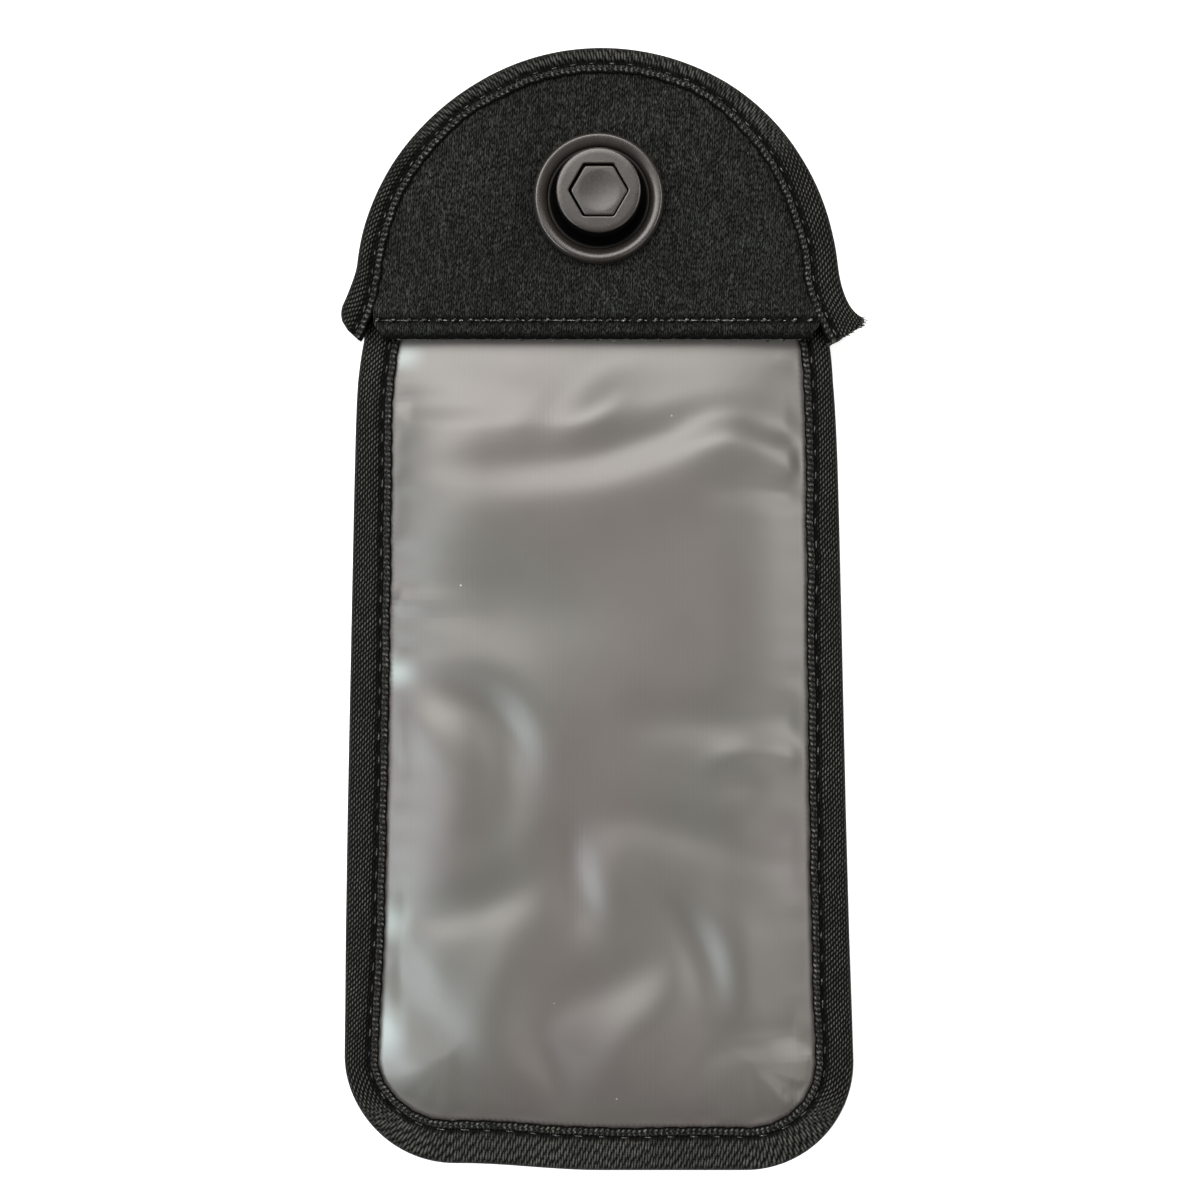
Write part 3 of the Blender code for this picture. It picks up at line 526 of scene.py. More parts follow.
@dataclass
class Draft:
    """Points, faces and point values of a piece before it becomes a mesh."""

    points: list[np.ndarray] = field(default_factory=list)
    faces: list[list[int]] = field(default_factory=list)
    marks: dict[str, list[np.ndarray]] = field(default_factory=dict)
    count: int = 0

    def place(self, points: np.ndarray, **marks: np.ndarray) -> np.ndarray:
        """Add points, with a value of each mark at each of them.

        Args:
            points: Points in an array of any shape, three numbers in the last axis.
            **marks: Arrays of values, one for each point.

        Returns:
            The points' numbers, arranged as the points are.
        """
        flat = points.reshape(-1, 3)
        numbers = np.arange(self.count, self.count + len(flat)).reshape(points.shape[:-1])
        self.points.append(flat)
        for name, values in marks.items():
            self.marks.setdefault(name, []).append(np.asarray(values).reshape(-1))
        self.count += len(flat)
        return numbers

    def skin(self, numbers: np.ndarray, wrap_rows: bool = False, wrap_columns: bool = False) -> None:
        """Join a grid of point numbers with four-sided faces.

        Args:
            numbers: Point numbers, row by row.
            wrap_rows: Whether the last row joins the first.
            wrap_columns: Whether the last column joins the first.
        """
        if wrap_rows:
            numbers = np.concatenate([numbers, numbers[:1]])
        if wrap_columns:
            numbers = np.concatenate([numbers, numbers[:, :1]], axis=1)
        corners = (numbers[:-1, :-1], numbers[1:, :-1], numbers[1:, 1:], numbers[:-1, 1:])
        self.faces.extend(np.stack(corners, axis=-1).reshape(-1, 4).tolist())

    def cap(self, loop: np.ndarray) -> None:
        """Close a loop of point numbers with one flat face."""
        self.faces.append(loop.tolist())

    def sheet(self, upper: np.ndarray, lower: np.ndarray, **marks: np.ndarray) -> None:
        """Add a closed sheet from a grid of points above and one below.

        Args:
            upper: Points of the upper face.
            lower: Points of the lower face.
            **marks: Values at each point of either face.
        """
        above, below = self.place(upper, **marks), self.place(lower, **marks)
        self.skin(above)
        self.skin(below)
        for row in (0, -1):
            self.skin(np.stack([above[row], below[row]]))
        for column in (0, -1):
            self.skin(np.stack([above[:, column], below[:, column]]))

    def tube(self, route: np.ndarray, radius: np.ndarray, sides: int, **marks: np.ndarray) -> None:
        """Add a round tube along a route that never runs straight up.

        Args:
            route: Points along the middle of the tube.
            radius: Radius at each point.
            sides: How many sides the tube has.
            **marks: Values at each point of the route.
        """
        along = np.gradient(route, axis=0)
        along /= np.linalg.norm(along, axis=1, keepdims=True)
        beside = np.cross(along, np.array([0.0, 0.0, 1.0]))
        beside /= np.maximum(np.linalg.norm(beside, axis=1, keepdims=True), 1e-9)
        above = np.cross(beside, along)
        turn = np.linspace(0.0, 2 * math.pi, sides, endpoint=False)
        ring = beside[:, None] * np.cos(turn)[None, :, None] + above[:, None] * np.sin(turn)[None, :, None]
        points = route[:, None] + ring * np.asarray(radius).reshape(-1, 1, 1)
        spread = {name: np.repeat(values, sides) for name, values in marks.items()}
        spread["around"] = np.tile(turn / (2 * math.pi), len(route))
        numbers = self.place(points, **spread)
        self.skin(numbers, wrap_columns=True)
        self.cap(numbers[0])
        self.cap(numbers[-1][::-1])

    def piece(
        self,
        name: str,
        material: bpy.types.Material,
        slot: Slot,
        crease: float = 40.0,
        body: str | None = POUCH_BODY,
    ) -> bpy.types.Object:
        """Make the object of a piece, faces out, and let it ride on a body.

        Args:
            name: Name of the piece.
            material: Its finish.
            slot: The record's slot that the finish stands for; not used.
            crease: Angle in degrees from which an edge stays sharp.
            body: The body that it rides on, or None for a piece that rides on none.

        Returns:
            The new object.
        """
        mesh = bpy.data.meshes.new(name)
        mesh.from_pydata(np.concatenate(self.points).tolist(), [], self.faces)
        for mark, values in self.marks.items():
            layer = mesh.attributes.new(mark, "FLOAT", "POINT")
            layer.data.foreach_set("value", np.concatenate(values).astype(np.float32))
        shape = bmesh.new()
        shape.from_mesh(mesh)
        bmesh.ops.remove_doubles(shape, verts=shape.verts, dist=1e-7)
        bmesh.ops.recalc_face_normals(shape, faces=shape.faces)
        shape.to_mesh(mesh)
        shape.free()
        mesh.shade_smooth()
        mesh.set_sharp_from_angle(angle=math.radians(crease))
        mesh.materials.append(material)
        item = added(name, mesh)
        if body:
            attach(item, body)
        log.info("%s: %d faces", name, len(mesh.polygons))
        return item


def punch(item: bpy.types.Object, centre_y: float, radius: float, top: float) -> None:
    """Cut a round hole through a sheet on the lock's axis.

    Args:
        item: The sheet.
        centre_y: Place of the hole.
        radius: Radius of the hole.
        top: A height above the sheet.
    """
    shape = bmesh.new()
    bmesh.ops.create_cone(shape, cap_ends=True, segments=48, radius1=radius, radius2=radius, depth=4 * top)
    mesh = bpy.data.meshes.new("punch")
    shape.to_mesh(mesh)
    shape.free()
    cutter = added("punch", mesh)
    cutter.location = (0.0, centre_y, 0.0)
    step = item.modifiers.new("hole", "BOOLEAN")
    step.operation = "DIFFERENCE"
    step.solver = "EXACT"
    step.object = cutter
    bpy.context.view_layer.update()
    cut = bpy.data.meshes.new_from_object(item.evaluated_get(bpy.context.evaluated_depsgraph_get()))
    item.modifiers.clear()
    item.data = cut
    bpy.data.objects.remove(cutter, do_unlink=True)


# Materials


class Wire:
    """A socket of a material, with arithmetic that adds Math nodes."""

    def __init__(self, board: Board, socket: bpy.types.NodeSocket | None) -> None:
        """Wrap a socket of a board, or none."""
        self.board = board
        self.socket = socket

    def math(self, operation: str, *others: Wire | float) -> Wire:
        """Add a Math node on this value and others."""
        return self.board.node("ShaderNodeMath", {"operation": operation}, dict(enumerate((self, *others))))

    def __add__(self, other: Wire | float) -> Wire:
        """Sum."""
        return self.math("ADD", other)

    def __sub__(self, other: Wire | float) -> Wire:
        """Difference."""
        return self.math("SUBTRACT", other)

    def __rsub__(self, other: float) -> Wire:
        """Difference from a number."""
        return self.board.node("ShaderNodeMath", {"operation": "SUBTRACT"}, {0: other, 1: self})

    def __mul__(self, other: Wire | float) -> Wire:
        """Product."""
        return self.math("MULTIPLY", other)

    __radd__, __rmul__ = __add__, __mul__

    def __truediv__(self, other: Wire | float) -> Wire:
        """Quotient."""
        return self.math("DIVIDE", other)

    def floor(self) -> Wire:
        """Whole number below."""
        return self.math("FLOOR")

    def size(self) -> Wire:
        """Distance from zero."""
        return self.math("ABSOLUTE")

    def sine(self) -> Wire:
        """Sine of an angle in radians."""
        return self.math("SINE")

    def at_least(self, floor: Wire | float) -> Wire:
        """The larger of two values."""
        return self.math("MAXIMUM", floor)

    def at_most(self, ceiling: Wire | float) -> Wire:
        """The smaller of two values."""
        return self.math("MINIMUM", ceiling)

    def above(self, limit: Wire | float) -> Wire:
        """1 where the value is above a limit, else 0."""
        return self.math("GREATER_THAN", limit)

    def eased(self, low: float, high: float) -> Wire:
        """Smooth step of the value, 0 at low and 1 at high."""
        ends = {0: self, 1: low, 2: high, 3: 0.0, 4: 1.0}
        return self.board.node("ShaderNodeMapRange", {"interpolation_type": "SMOOTHSTEP"}, ends)


class Board:
    """Node tree of one material."""

    def __init__(self, name: str) -> None:
        """Start a material with an empty tree.

        Args:
            name: Name of the material.
        """
        self.material = bpy.data.materials.new(name)
        self.material.use_nodes = True
        self.tree = self.material.node_tree
        self.tree.nodes.clear()

    def node(
        self,
        kind: str,
        settings: dict[str, Any] | None = None,
        sockets: dict[int | str, Any] | None = None,
        output: int | str = 0,
    ) -> Wire:
        """Add a node.

        Args:
            kind: Type of the node.
            settings: Properties to set first.
            sockets: Values or wires for its inputs, by number or name.
            output: Which output to return.

        Returns:
            The wire of that output, or of none for a node without outputs.
        """
        item = self.tree.nodes.new(kind)
        for name, value in (settings or {}).items():
            setattr(item, name, value)
        for key, value in (sockets or {}).items():
            if isinstance(value, Wire):
                self.tree.links.new(value.socket, item.inputs[key])
            else:
                item.inputs[key].default_value = value
        return Wire(self, item.outputs[output] if item.outputs else None)

    def place_mm(self) -> Wire:
        """Place on the piece as a vector, in millimetres."""
        place = self.node("ShaderNodeTexCoord", output="Object")
        return self.node("ShaderNodeVectorMath", {"operation": "SCALE"}, {0: place, "Scale": 1 / MM})

    def axis(self, vector: Wire, number: int) -> Wire:
        """One of a vector's three numbers."""
        return self.node("ShaderNodeSeparateXYZ", sockets={0: vector}, output=number)

    def mark(self, name: str) -> Wire:
        """Value of a mark of the mesh."""
        settings = {"attribute_type": "GEOMETRY", "attribute_name": name}
        return self.node("ShaderNodeAttribute", settings, output="Fac")

    def noise(self, vector: Wire, scale: float, detail: float = 2.0, seed: float = 0.0) -> Wire:
        """Cloudy noise from 0 to 1.

        Args:
            vector: Place in the noise.
            scale: How many features there are in a unit of length, roughly.
            detail: How many finer layers there are.
            seed: Which noise it is.

        Returns:
            The noise.
        """
        settings = {"noise_dimensions": "4D"}
        sockets = {"Vector": vector, "W": seed, "Scale": scale, "Detail": detail}
        return self.node("ShaderNodeTexNoise", settings, sockets, "Fac")

    def stretched(self, vector: Wire, by: tuple[float, float, float]) -> Wire:
        """Vector multiplied axis by axis."""
        return self.node("ShaderNodeVectorMath", {"operation": "MULTIPLY"}, {0: vector, 1: by})

    def chance(self, first: Wire, second: Wire) -> Wire:
        """Random value of each pair of whole numbers."""
        pair = self.node("ShaderNodeCombineXYZ", sockets={0: first, 1: second})
        return self.node("ShaderNodeTexWhiteNoise", {"noise_dimensions": "2D"}, {"Vector": pair}, "Value")

    @staticmethod
    def full(colour: Any) -> Any:
        """Colour as a socket takes it: a wire as it is, three numbers with an alpha."""
        return colour if isinstance(colour, Wire) else (*colour, 1.0)

    def grey(self, tone: Wire) -> Wire:
        """Grey colour of a brightness."""
        return self.node("ShaderNodeCombineColor", sockets={0: tone, 1: tone, 2: tone})

    def tint(self, share: Wire | float, low: Any, high: Any, mode: str = "MIX") -> Wire:
        """Mix two colours.

        Args:
            share: How much of the second.
            low: First colour, as a wire or three numbers.
            high: Second colour, as a wire or three numbers.
            mode: Blend type of the Mix node.

        Returns:
            The mixed colour.
        """
        settings = {"data_type": "RGBA", "blend_type": mode}
        sockets = {0: share, 6: self.full(low), 7: self.full(high)}
        return self.node("ShaderNodeMix", settings, sockets, 2)

    def from_axis(self, place: Wire, axis_y: float) -> Wire:
        """Distance in millimetres from an upright axis in the middle plane.

        Args:
            place: Place on the piece in millimetres.
            axis_y: Where the axis stands, in metres.

        Returns:
            The distance.
        """
        x, y = self.axis(place, 0), self.axis(place, 1) - axis_y / MM
        return (x * x + y * y).math("SQRT")

    def yarns(
        self,
        across: Wire,
        along: Wire,
        shift: float,
        lean: float,
        fatness: float,
        wild: float = 0.0,
        shortness: float = 3.0,
    ) -> tuple[Wire, Wire]:
        """Lattice of slanted yarn lozenges.

        Args:
            across: Place over the columns, counted in columns.
            along: Place down a column, counted in rows.
            shift: How many rows each column is shifted against the last.
            lean: Slant of a yarn, in columns for each row.
            fatness: Half-width of a yarn, in columns.
            wild: How many rows at most a column strays from that shift.
            shortness: How much shorter a yarn is than its row.

        Returns:
            Height of the yarn from 0 to 1, and a random value for each yarn.
        """
        column = across.floor()
        shifted = along + column * shift + self.chance(column, column * 0.37) * wild
        row = shifted.floor()
        down = shifted - row - 0.5
        beside = (across - column - 0.5 - down * lean) / fatness
        height = (1 - beside * beside - down * down * shortness).at_least(0.0)
        return height, self.chance(column, row)

    def dressed(
        self,
        colour: Any,
        roughness: Any,
        relief: Wire | None = None,
        depth: float = 0.0,
        **others: Any,
    ) -> bpy.types.Material:
        """Finish the material with its surface shader.

        Args:
            colour: Base colour, as a wire or three numbers.
            roughness: Roughness, as a wire or a number.
            relief: Height of the fine relief, from 0 to 1.
            depth: Depth of that relief.
            **others: Values or wires of the shader's other sockets, named with underscores.

        Returns:
            The material.
        """
        sockets: dict[int | str, Any] = {
            "Base Color": self.full(colour),
            "Roughness": roughness,
        }
        if relief is not None:
            bumps = {"Strength": 1.0, "Distance": depth, "Height": relief}
            sockets["Normal"] = self.node("ShaderNodeBump", sockets=bumps)
        for name, value in others.items():
            sockets[name.replace("_", " ")] = value
        surface = self.node("ShaderNodeBsdfPrincipled", sockets=sockets)
        self.node("ShaderNodeOutputMaterial", sockets={"Surface": surface})
        return self.material


@dataclass(frozen=True)
class KnitFinish:
    """Neoprene faced with a fine knit, whose wales run along the pouch."""

    name: str = "neoprene_knit"
    ground: Colour = (0.0018, 0.0018, 0.0015)
    yarn: Colour = (0.162, 0.174, 0.157)
    wale_mm: float = 0.46
    course_mm: float = 1.15
    tilt: float = 0.06
    relief: float = 0.00006

    def material(self) -> bpy.types.Material:
        """Build the material.

        Returns:
            The material.
        """
        board = Board(self.name)
        place = board.place_mm()
        x, y = board.axis(place, 0), board.axis(place, 1)
        drift = board.noise(place, 0.09, 1.0, 4.0) - 0.5
        across = (x - y * self.tilt + drift * 0.8) / self.wale_mm
        height, chance = board.yarns(across, y / self.course_mm, 0.5, 0.20, 0.33, 0.8, 4.0)
        loops = board.noise(board.stretched(place, (1.15, 0.34, 1.0)), 4.4, 1.0, 11.0).eased(0.42, 0.74)
        height = height * 0.35 + loops * 0.65
        cloud = board.noise(place, 0.05, 2.0, 1.0)
        shine = height * (0.24 + chance * 0.22) * (0.40 + cloud * 0.9)
        # Painted shade: the tuck mark dims the yarns along the hem's stitch line and along its fold.
        shine = shine * (1 - board.mark("tuck")).at_least(0.0)
        colour = board.tint(shine.at_most(1.0), self.ground, self.yarn)
        fuzz = board.noise(place, 3.1, 2.0, 7.0)
        roughness = 0.62 + fuzz * 0.2
        relief = height * 0.8 + fuzz * 0.2
        return board.dressed(colour, roughness, relief, self.relief, Specular_IOR_Level=0.04)


@dataclass(frozen=True)
class WeaveFinish:
    """Ribbed tape woven of black yarn, with a twill that leans one way."""

    twill: Twill
    name: str
    ground: Colour = (0.0026, 0.0027, 0.0023)
    yarn: Colour = (0.160, 0.162, 0.146)
    rib_mm: float = 0.52
    pick_mm: float = 1.08
    gather_mm: float = 0.56
    top_gathers_mm: tuple[float, float] = (88.0, 99.0)
    foot_gathers_mm: tuple[float, float] = (96.0, 104.0)
    seam_mm: float = 1.8
    relief: float = 0.00009

    def material(self) -> bpy.types.Material:
        """Build the material.

        Returns:
            The material.
        """
        board = Board(self.name)
        along, across = board.mark("along_mm"), board.mark("across_mm")
        from_lip = board.mark("lip_mm")
        place = board.place_mm()
        sway = board.noise(place, 0.16, 1.0, 2.0) - 0.5
        sign = self.twill.value
        rib = (from_lip + sway * 0.3) / self.rib_mm
        pick = along / self.pick_mm + sway * 0.8
        height, chance = board.yarns(rib, pick, 0.5, -0.45 * sign, 0.31, 0.10, 6.0)
        y = board.axis(place, 1)
        gathered = y.eased(*self.top_gathers_mm) + (y * -1.0).eased(*self.foot_gathers_mm)
        ridge, _ = board.yarns(along / self.gather_mm + sway, from_lip / 2.3, 0.5, 0.5, 0.38, 0.5, 3.4)
        height = height + (ridge - height) * gathered * 0.85
        # Painted shade: the yarns are darkened in the seam's valley, towards the tape's fold and at the lip's
        # edge.
        away_from_seam_shade = (from_lip - self.seam_mm - 0.2).size().eased(0.2, 0.9)
        away_from_fold_shade = across.eased(0.2, 1.6)
        cloud = board.noise(place, 0.11, 2.0, 5.0)
        shine = height * (0.40 + chance * 0.40) * (0.35 + cloud * 1.0)
        shine = shine * (0.08 + away_from_seam_shade * 0.92) * (0.35 + away_from_fold_shade * 0.65) * from_lip.eased(0.1, 0.9)
        colour = board.tint(shine.at_most(1.0), self.ground, self.yarn)
        fuzz = board.noise(place, 4.0, 2.0, 9.0)
        relief = height * 0.85 + fuzz * 0.15
        return board.dressed(colour, 0.5 + fuzz * 0.2, relief, self.relief, Specular_IOR_Level=0.04)


@dataclass(frozen=True)
class ThreadFinish:
    """Black polyester sewing thread or yarn, plied with a slant."""

    name: str
    ground: Colour = (0.006, 0.006, 0.006)
    strand: Colour = (0.30, 0.30, 0.28)
    lay_mm: float = 0.55
    plies: float = 3.0
    crisp: float = 0.0
    specular: float = 0.4
    relief: float = 0.00003

    def material(self) -> bpy.types.Material:
        """Build the material.

        Returns:
            The material.
        """
        board = Board(self.name)
        along, around = board.mark("along_mm"), board.mark("around")
        place = board.place_mm()
        ply = ((along / self.lay_mm + around * self.plies) * (2 * math.pi)).sine() * 0.5 + 0.5
        fuzz = board.noise(place, 2.2, 2.0, 3.0)
        shine = ply.eased(self.crisp, 1.0) * fuzz.eased(0.35, 0.75)
        colour = board.tint(shine, self.ground, self.strand)
        return board.dressed(colour, 0.42 + fuzz * 0.2, ply, self.relief, Specular_IOR_Level=self.specular)


@dataclass(frozen=True)
class FilmFinish:
    """Frosted translucent film with faint lines along its length and specks of dust.

    Four pale glints beside the left lip, painted reflections of the window light, are (place along Y,
    reach) pairs, and the rim under the tape's lip is painted darker as the tape's shade.
    """

    name: str = "frosted_film"
    cool: Colour = (0.112, 0.108, 0.096)
    warm: Colour = (0.118, 0.103, 0.096)
    # Painted highlight: colour of pale reflections painted beside the left lip.
    painted_glint: Colour = (0.34, 0.39, 0.38)
    # Painted shade: colour of the film's rim where the tape's lip shades it.
    seam: Colour = (0.030, 0.022, 0.022)
    painted_glints_mm: tuple[tuple[float, float], ...] = ((51.0, 4.0), (-12.0, 5.0), (-62.0, 6.0), (-84.0, 9.0))
    dust: Colour = (0.55, 0.54, 0.50)
    line_mm: float = 0.95
    relief: float = 0.00002

    def material(self) -> bpy.types.Material:
        """Build the material.

        Returns:
            The material.
        """
        board = Board(self.name)
        place = board.place_mm()
        x = board.axis(place, 0)
        hue = board.noise(board.stretched(place, (1.0, 0.6, 1.0)), 0.035, 1.0, 3.0)
        colour = board.tint(hue.eased(0.38, 0.62), self.cool, self.warm)
        patches = board.noise(board.stretched(place, (1.0, 0.16, 1.0)), 0.14, 1.0, 8.0).eased(0.42, 0.62)
        lines = (x * (2 * math.pi / self.line_mm)).sine() * patches
        mottle = board.noise(place, 0.12, 3.0, 6.0)
        tone = 0.94 + lines * 0.022 + mottle * 0.12
        colour = board.tint(1.0, colour, board.grey(tone), "MULTIPLY")
        y, from_lip = board.axis(place, 1), board.mark("lip_mm")
        # Painted highlights: pale reflections of the window light painted at set places beside the left lip.
        on_left = (x * -1.0).above(20.0) * (1 - from_lip.eased(0.3, 7.0))
        for glint_y, reach in self.painted_glints_mm:
            share = on_left * (1 - (y - glint_y).size().eased(0.0, reach))
            colour = board.tint(share, colour, self.painted_glint)
        # Painted shade: the film is darkened within about a millimetre of the tape's lip.
        colour = board.tint((1 - from_lip.eased(0.1, 1.1)) * 0.75, colour, self.seam)
        cells = {"Vector": place, "Scale": 0.085, "Randomness": 1.0}
        specks = board.node("ShaderNodeTexVoronoi", {"feature": "F1"}, cells)
        colour = board.tint(1 - specks.eased(0.010, 0.022), colour, self.dust)
        grain = board.noise(place, 3.5, 2.0, 12.0)
        roughness = 0.36 + grain * 0.07 + mottle * 0.05
        relief = grain * 0.5 + lines * 0.12 + 0.25
        return board.dressed(
            colour, roughness, relief, self.relief, Alpha=0.94, Specular_IOR_Level=0.95, IOR=1.6
        )


@dataclass(frozen=True)
class GrooveShade:
    """Painted shade on the walls and floor of the lock's recess, which is tinted near black."""

    axis_y: float
    radius_mm: float = 9.6
    height_mm: float = 16.2
    colour: Colour = (0.0025, 0.0023, 0.0022)

    def shade(self, board: Board, place: Wire) -> Wire:
        """Mask of the painted shade in the lock's recess.

        Args:
            board: The material's tree.
            place: Place on the piece in millimetres.

        Returns:
            1 in the shaded recess, 0 on the polished faces.
        """
        radius = board.from_axis(place, self.axis_y)
        inside = 1 - radius.eased(self.radius_mm - 0.2, self.radius_mm + 1.1)
        low = 1 - board.axis(place, 2).eased(self.height_mm - 0.2, self.height_mm + 0.15)
        return inside * low


@dataclass(frozen=True)
class MouldedFinish:
    """Satin moulded plastic with a very fine grain and a few rubbed places."""

    name: str
    colour: Colour
    rubbed: Colour
    roughness: float = 0.30
    relief: float = 0.000002
    groove_shade: GrooveShade | None = None

    def material(self) -> bpy.types.Material:
        """Build the material.

        Returns:
            The material.
        """
        board = Board(self.name)
        place = board.place_mm()
        grain = board.noise(place, 9.0, 2.0, 1.0)
        cloud = board.noise(place, 0.35, 3.0, 2.0)
        scuffs = board.noise(board.stretched(place, (1.0, 7.0, 1.0)), 1.1, 3.0, 5.0).eased(0.62, 0.74)
        colour = board.tint(cloud.eased(0.3, 0.75) * 0.6 + scuffs * 0.25, self.colour, self.rubbed)
        roughness = self.roughness + cloud * 0.08 + grain * 0.05 + scuffs * 0.06
        # Painted shade: the recess is tinted near black and made rougher and metallic, so that it reflects
        # little.
        if self.groove_shade is not None:
            shade = self.groove_shade.shade(board, place)
            colour = board.tint(shade, colour, self.groove_shade.colour)
            roughness = roughness + shade * 0.4
            return board.dressed(
                colour, roughness, grain, self.relief, Specular_IOR_Level=0.8, Metallic=shade
            )
        return board.dressed(colour, roughness, grain, self.relief, Specular_IOR_Level=0.5)


@dataclass(frozen=True)
class SteelFinish:
    """Turned steel with fine rings round the lock's axis."""

    axis_y: float
    name: str = "turned_steel"
    colour: Colour = (0.56, 0.56, 0.55)
    tarnish: Colour = (0.40, 0.38, 0.35)
    ring_mm: float = 0.16
    relief: float = 0.000006

    def material(self) -> bpy.types.Material:
        """Build the material.

        Returns:
            The material.
        """
        board = Board(self.name)
        place = board.place_mm()
        radius = board.from_axis(place, self.axis_y)
        rings = (radius * (2 * math.pi / self.ring_mm)).sine() * 0.5 + 0.5
        cloud = board.noise(place, 0.6, 3.0, 1.0)
        colour = board.tint(cloud.eased(0.45, 0.8), self.colour, self.tarnish)
        return board.dressed(colour, 0.26 + cloud * 0.14, rings, self.relief, Metallic=1.0)


@dataclass(frozen=True)
class TableFinish:
    """Matt white board under the pouch."""

    name: str = "white_board"
    colour: Colour = (0.90, 0.90, 0.90)
    shaded: Colour = (0.88, 0.88, 0.885)
    glow: float = 0.62

    def material(self) -> bpy.types.Material:
        """Build the material.

        Returns:
            The material.
        """
        board = Board(self.name)
        place = board.place_mm()
        colour = board.tint(board.noise(place, 0.02, 2.0), self.colour, self.shaded)
        glow = {"Emission_Color": (1.0, 1.0, 1.0, 1.0), "Emission_Strength": self.glow}
        return board.dressed(colour, 0.8, Specular_IOR_Level=0.1, **glow)


# Sub-assemblies


@dataclass
class Binding:
    """Tape folded over an edge of the pouch, with its selvage cord and its lock-stitches."""

    name: str
    rails: Rails
    bottom: float
    top: float
    cloth: bpy.types.Material
    cord: bpy.types.Material
    thread: bpy.types.Material
    lean: Lean
    flat: tuple[float, float]
    seed: int
    roll_depth: float = 0.0018
    thickness: float = 0.00065
    seam_inset: float = 0.0018
    valley_depth: float = 0.00072
    valley_lip_reach: float = 0.00040
    valley_face_reach: float = 0.00075
    valley_wander: float = 0.0003
    dimple_depth: float = 0.0002
    puff: float = 0.00018
    lip_drop: float = 0.0003
    stitch_pitch: float = 0.0046
    scallop: float = 0.00016
    station_step: float = 0.0006
    cord_step: float = 0.0002
    cord_radius: float = 0.00023
    cord_reach: float = 0.00040
    cord_lay: float = 0.00216
    cord_inset: float = 0.00078
    cord_lift: float = 0.00022
    thread_radius: float = 0.00016
    thread_step: float = 0.00035
    thread_sink: float = 0.00105
    thread_rise: float = 0.00062
    cord_ends: tuple[float, float] = (0.0, 0.0)
    corner_round: float = 0.0

    def rounded(self, rails: Rails) -> Rails:
        """Round the outer corners of the tape's cut ends.

        Args:
            rails: Rails with even stations.

        Returns:
            Rails whose outer edge turns in at both ends.
        """
        from_end = np.minimum(rails.along, rails.along[-1] - rails.along)
        short = np.maximum(self.corner_round - from_end, 0.0)
        inset = self.corner_round - np.sqrt(self.corner_round**2 - short**2)
        return Rails(rails.outer + rails.inward() * inset[:, None], rails.inner, rails.along)

    @property
    def face(self) -> float:
        """Height of the tape's face above the middle of the fold."""
        return (self.top - self.bottom) / 2

    @property
    def slot(self) -> float:
        """Half the height of the space inside the fold."""
        return self.face - self.thickness

    @property
    def middle(self) -> float:
        """Height of the middle of the fold."""
        return (self.top + self.bottom) / 2

    def pull(self, along: np.ndarray) -> np.ndarray:
        """How much the stitches pull at places along the seam, 1 at each needle hole."""
        phase = along / self.stitch_pitch % 1.0
        return bell(np.minimum(phase, 1 - phase), 0.16)

    def widths(self, rails: Rails) -> np.ndarray:
        """Widths of the tape with its lip scalloped by the stitches.

        Args:
            rails: Rails with even stations.

        Returns:
            The width at each station.
        """
        sway = Ripple(self.seed, 0.012, 0.00009).at(rails.along, np.zeros_like(rails.along))
        return rails.width() - self.scallop * self.pull(rails.along) + sway

    def upper_steps(self, width: np.ndarray) -> np.ndarray:
        """Distances in from the fold of the points over the tape's upper face.

        Args:
            width: Width of the tape at each station.

        Returns:
            One row for each station, from the lip to the fold.
        """
        near_lip = np.array([0.0, 0.03, 0.09, 0.18, 0.3, 0.5, 0.75, 0.95, 1.1, 1.25, 1.4, 1.55, 1.7, 1.8,
                             1.9, 2.05, 2.2, 2.35, 2.5, 2.7]) * MM
        roll = self.roll_depth * (1 - np.sin(np.linspace(0.0, math.pi / 2, 9)))
        start = width[:, None] - near_lip[None]
        shares = np.linspace(0.0, 1.0, 9)[None, 1:-1]
        face = start[:, -1:] + (roll[0] - start[:, -1:]) * shares
        return np.concatenate([start, face, np.broadcast_to(roll, (len(width), len(roll)))], axis=1)

    def surface(self, steps: np.ndarray, width: np.ndarray, along: np.ndarray) -> np.ndarray:
        """Heights of the tape's face above the middle of the fold.

        Args:
            steps: Distances in from the fold.
            width: Width of the tape at each station.
            along: Distance of each station along the seam.

        Returns:
            The heights, arranged as the steps are.
        """
        from_lip = width[:, None] - steps
        lip_round = np.sqrt(np.clip(1 - (1 - np.clip(from_lip / 0.0004, 0, 1)) ** 2, 0, 1))
        height = self.slot + (self.face - self.slot) * (0.1 + 0.9 * lip_round)
        height = height - self.lip_drop * lip_round * (1 - ease((from_lip - 0.0009) / 0.0005))
        pull = self.pull(along)[:, None]
        offset = from_lip - self.seam_inset - self.valley_wander * (1 - pull)
        reach = np.where(offset > 0, self.valley_face_reach, self.valley_lip_reach)
        height = height - bell(offset, reach) * (self.valley_depth + self.dimple_depth * (pull - 0.4))
        height = height + self.puff * bell(steps / width[:, None] - 0.42, 0.24)
        fold_share = np.clip((self.roll_depth - steps) / self.roll_depth, 0, 1)
        height = height * np.sqrt(np.clip(1 - fold_share**2, 0, 1))
        plain = ease(from_lip / 0.0025) * (1 - fold_share)
        sway = Ripple(self.seed + 1, 0.009, 0.00006).at(along[:, None], steps * 2)
        return height + plain * sway

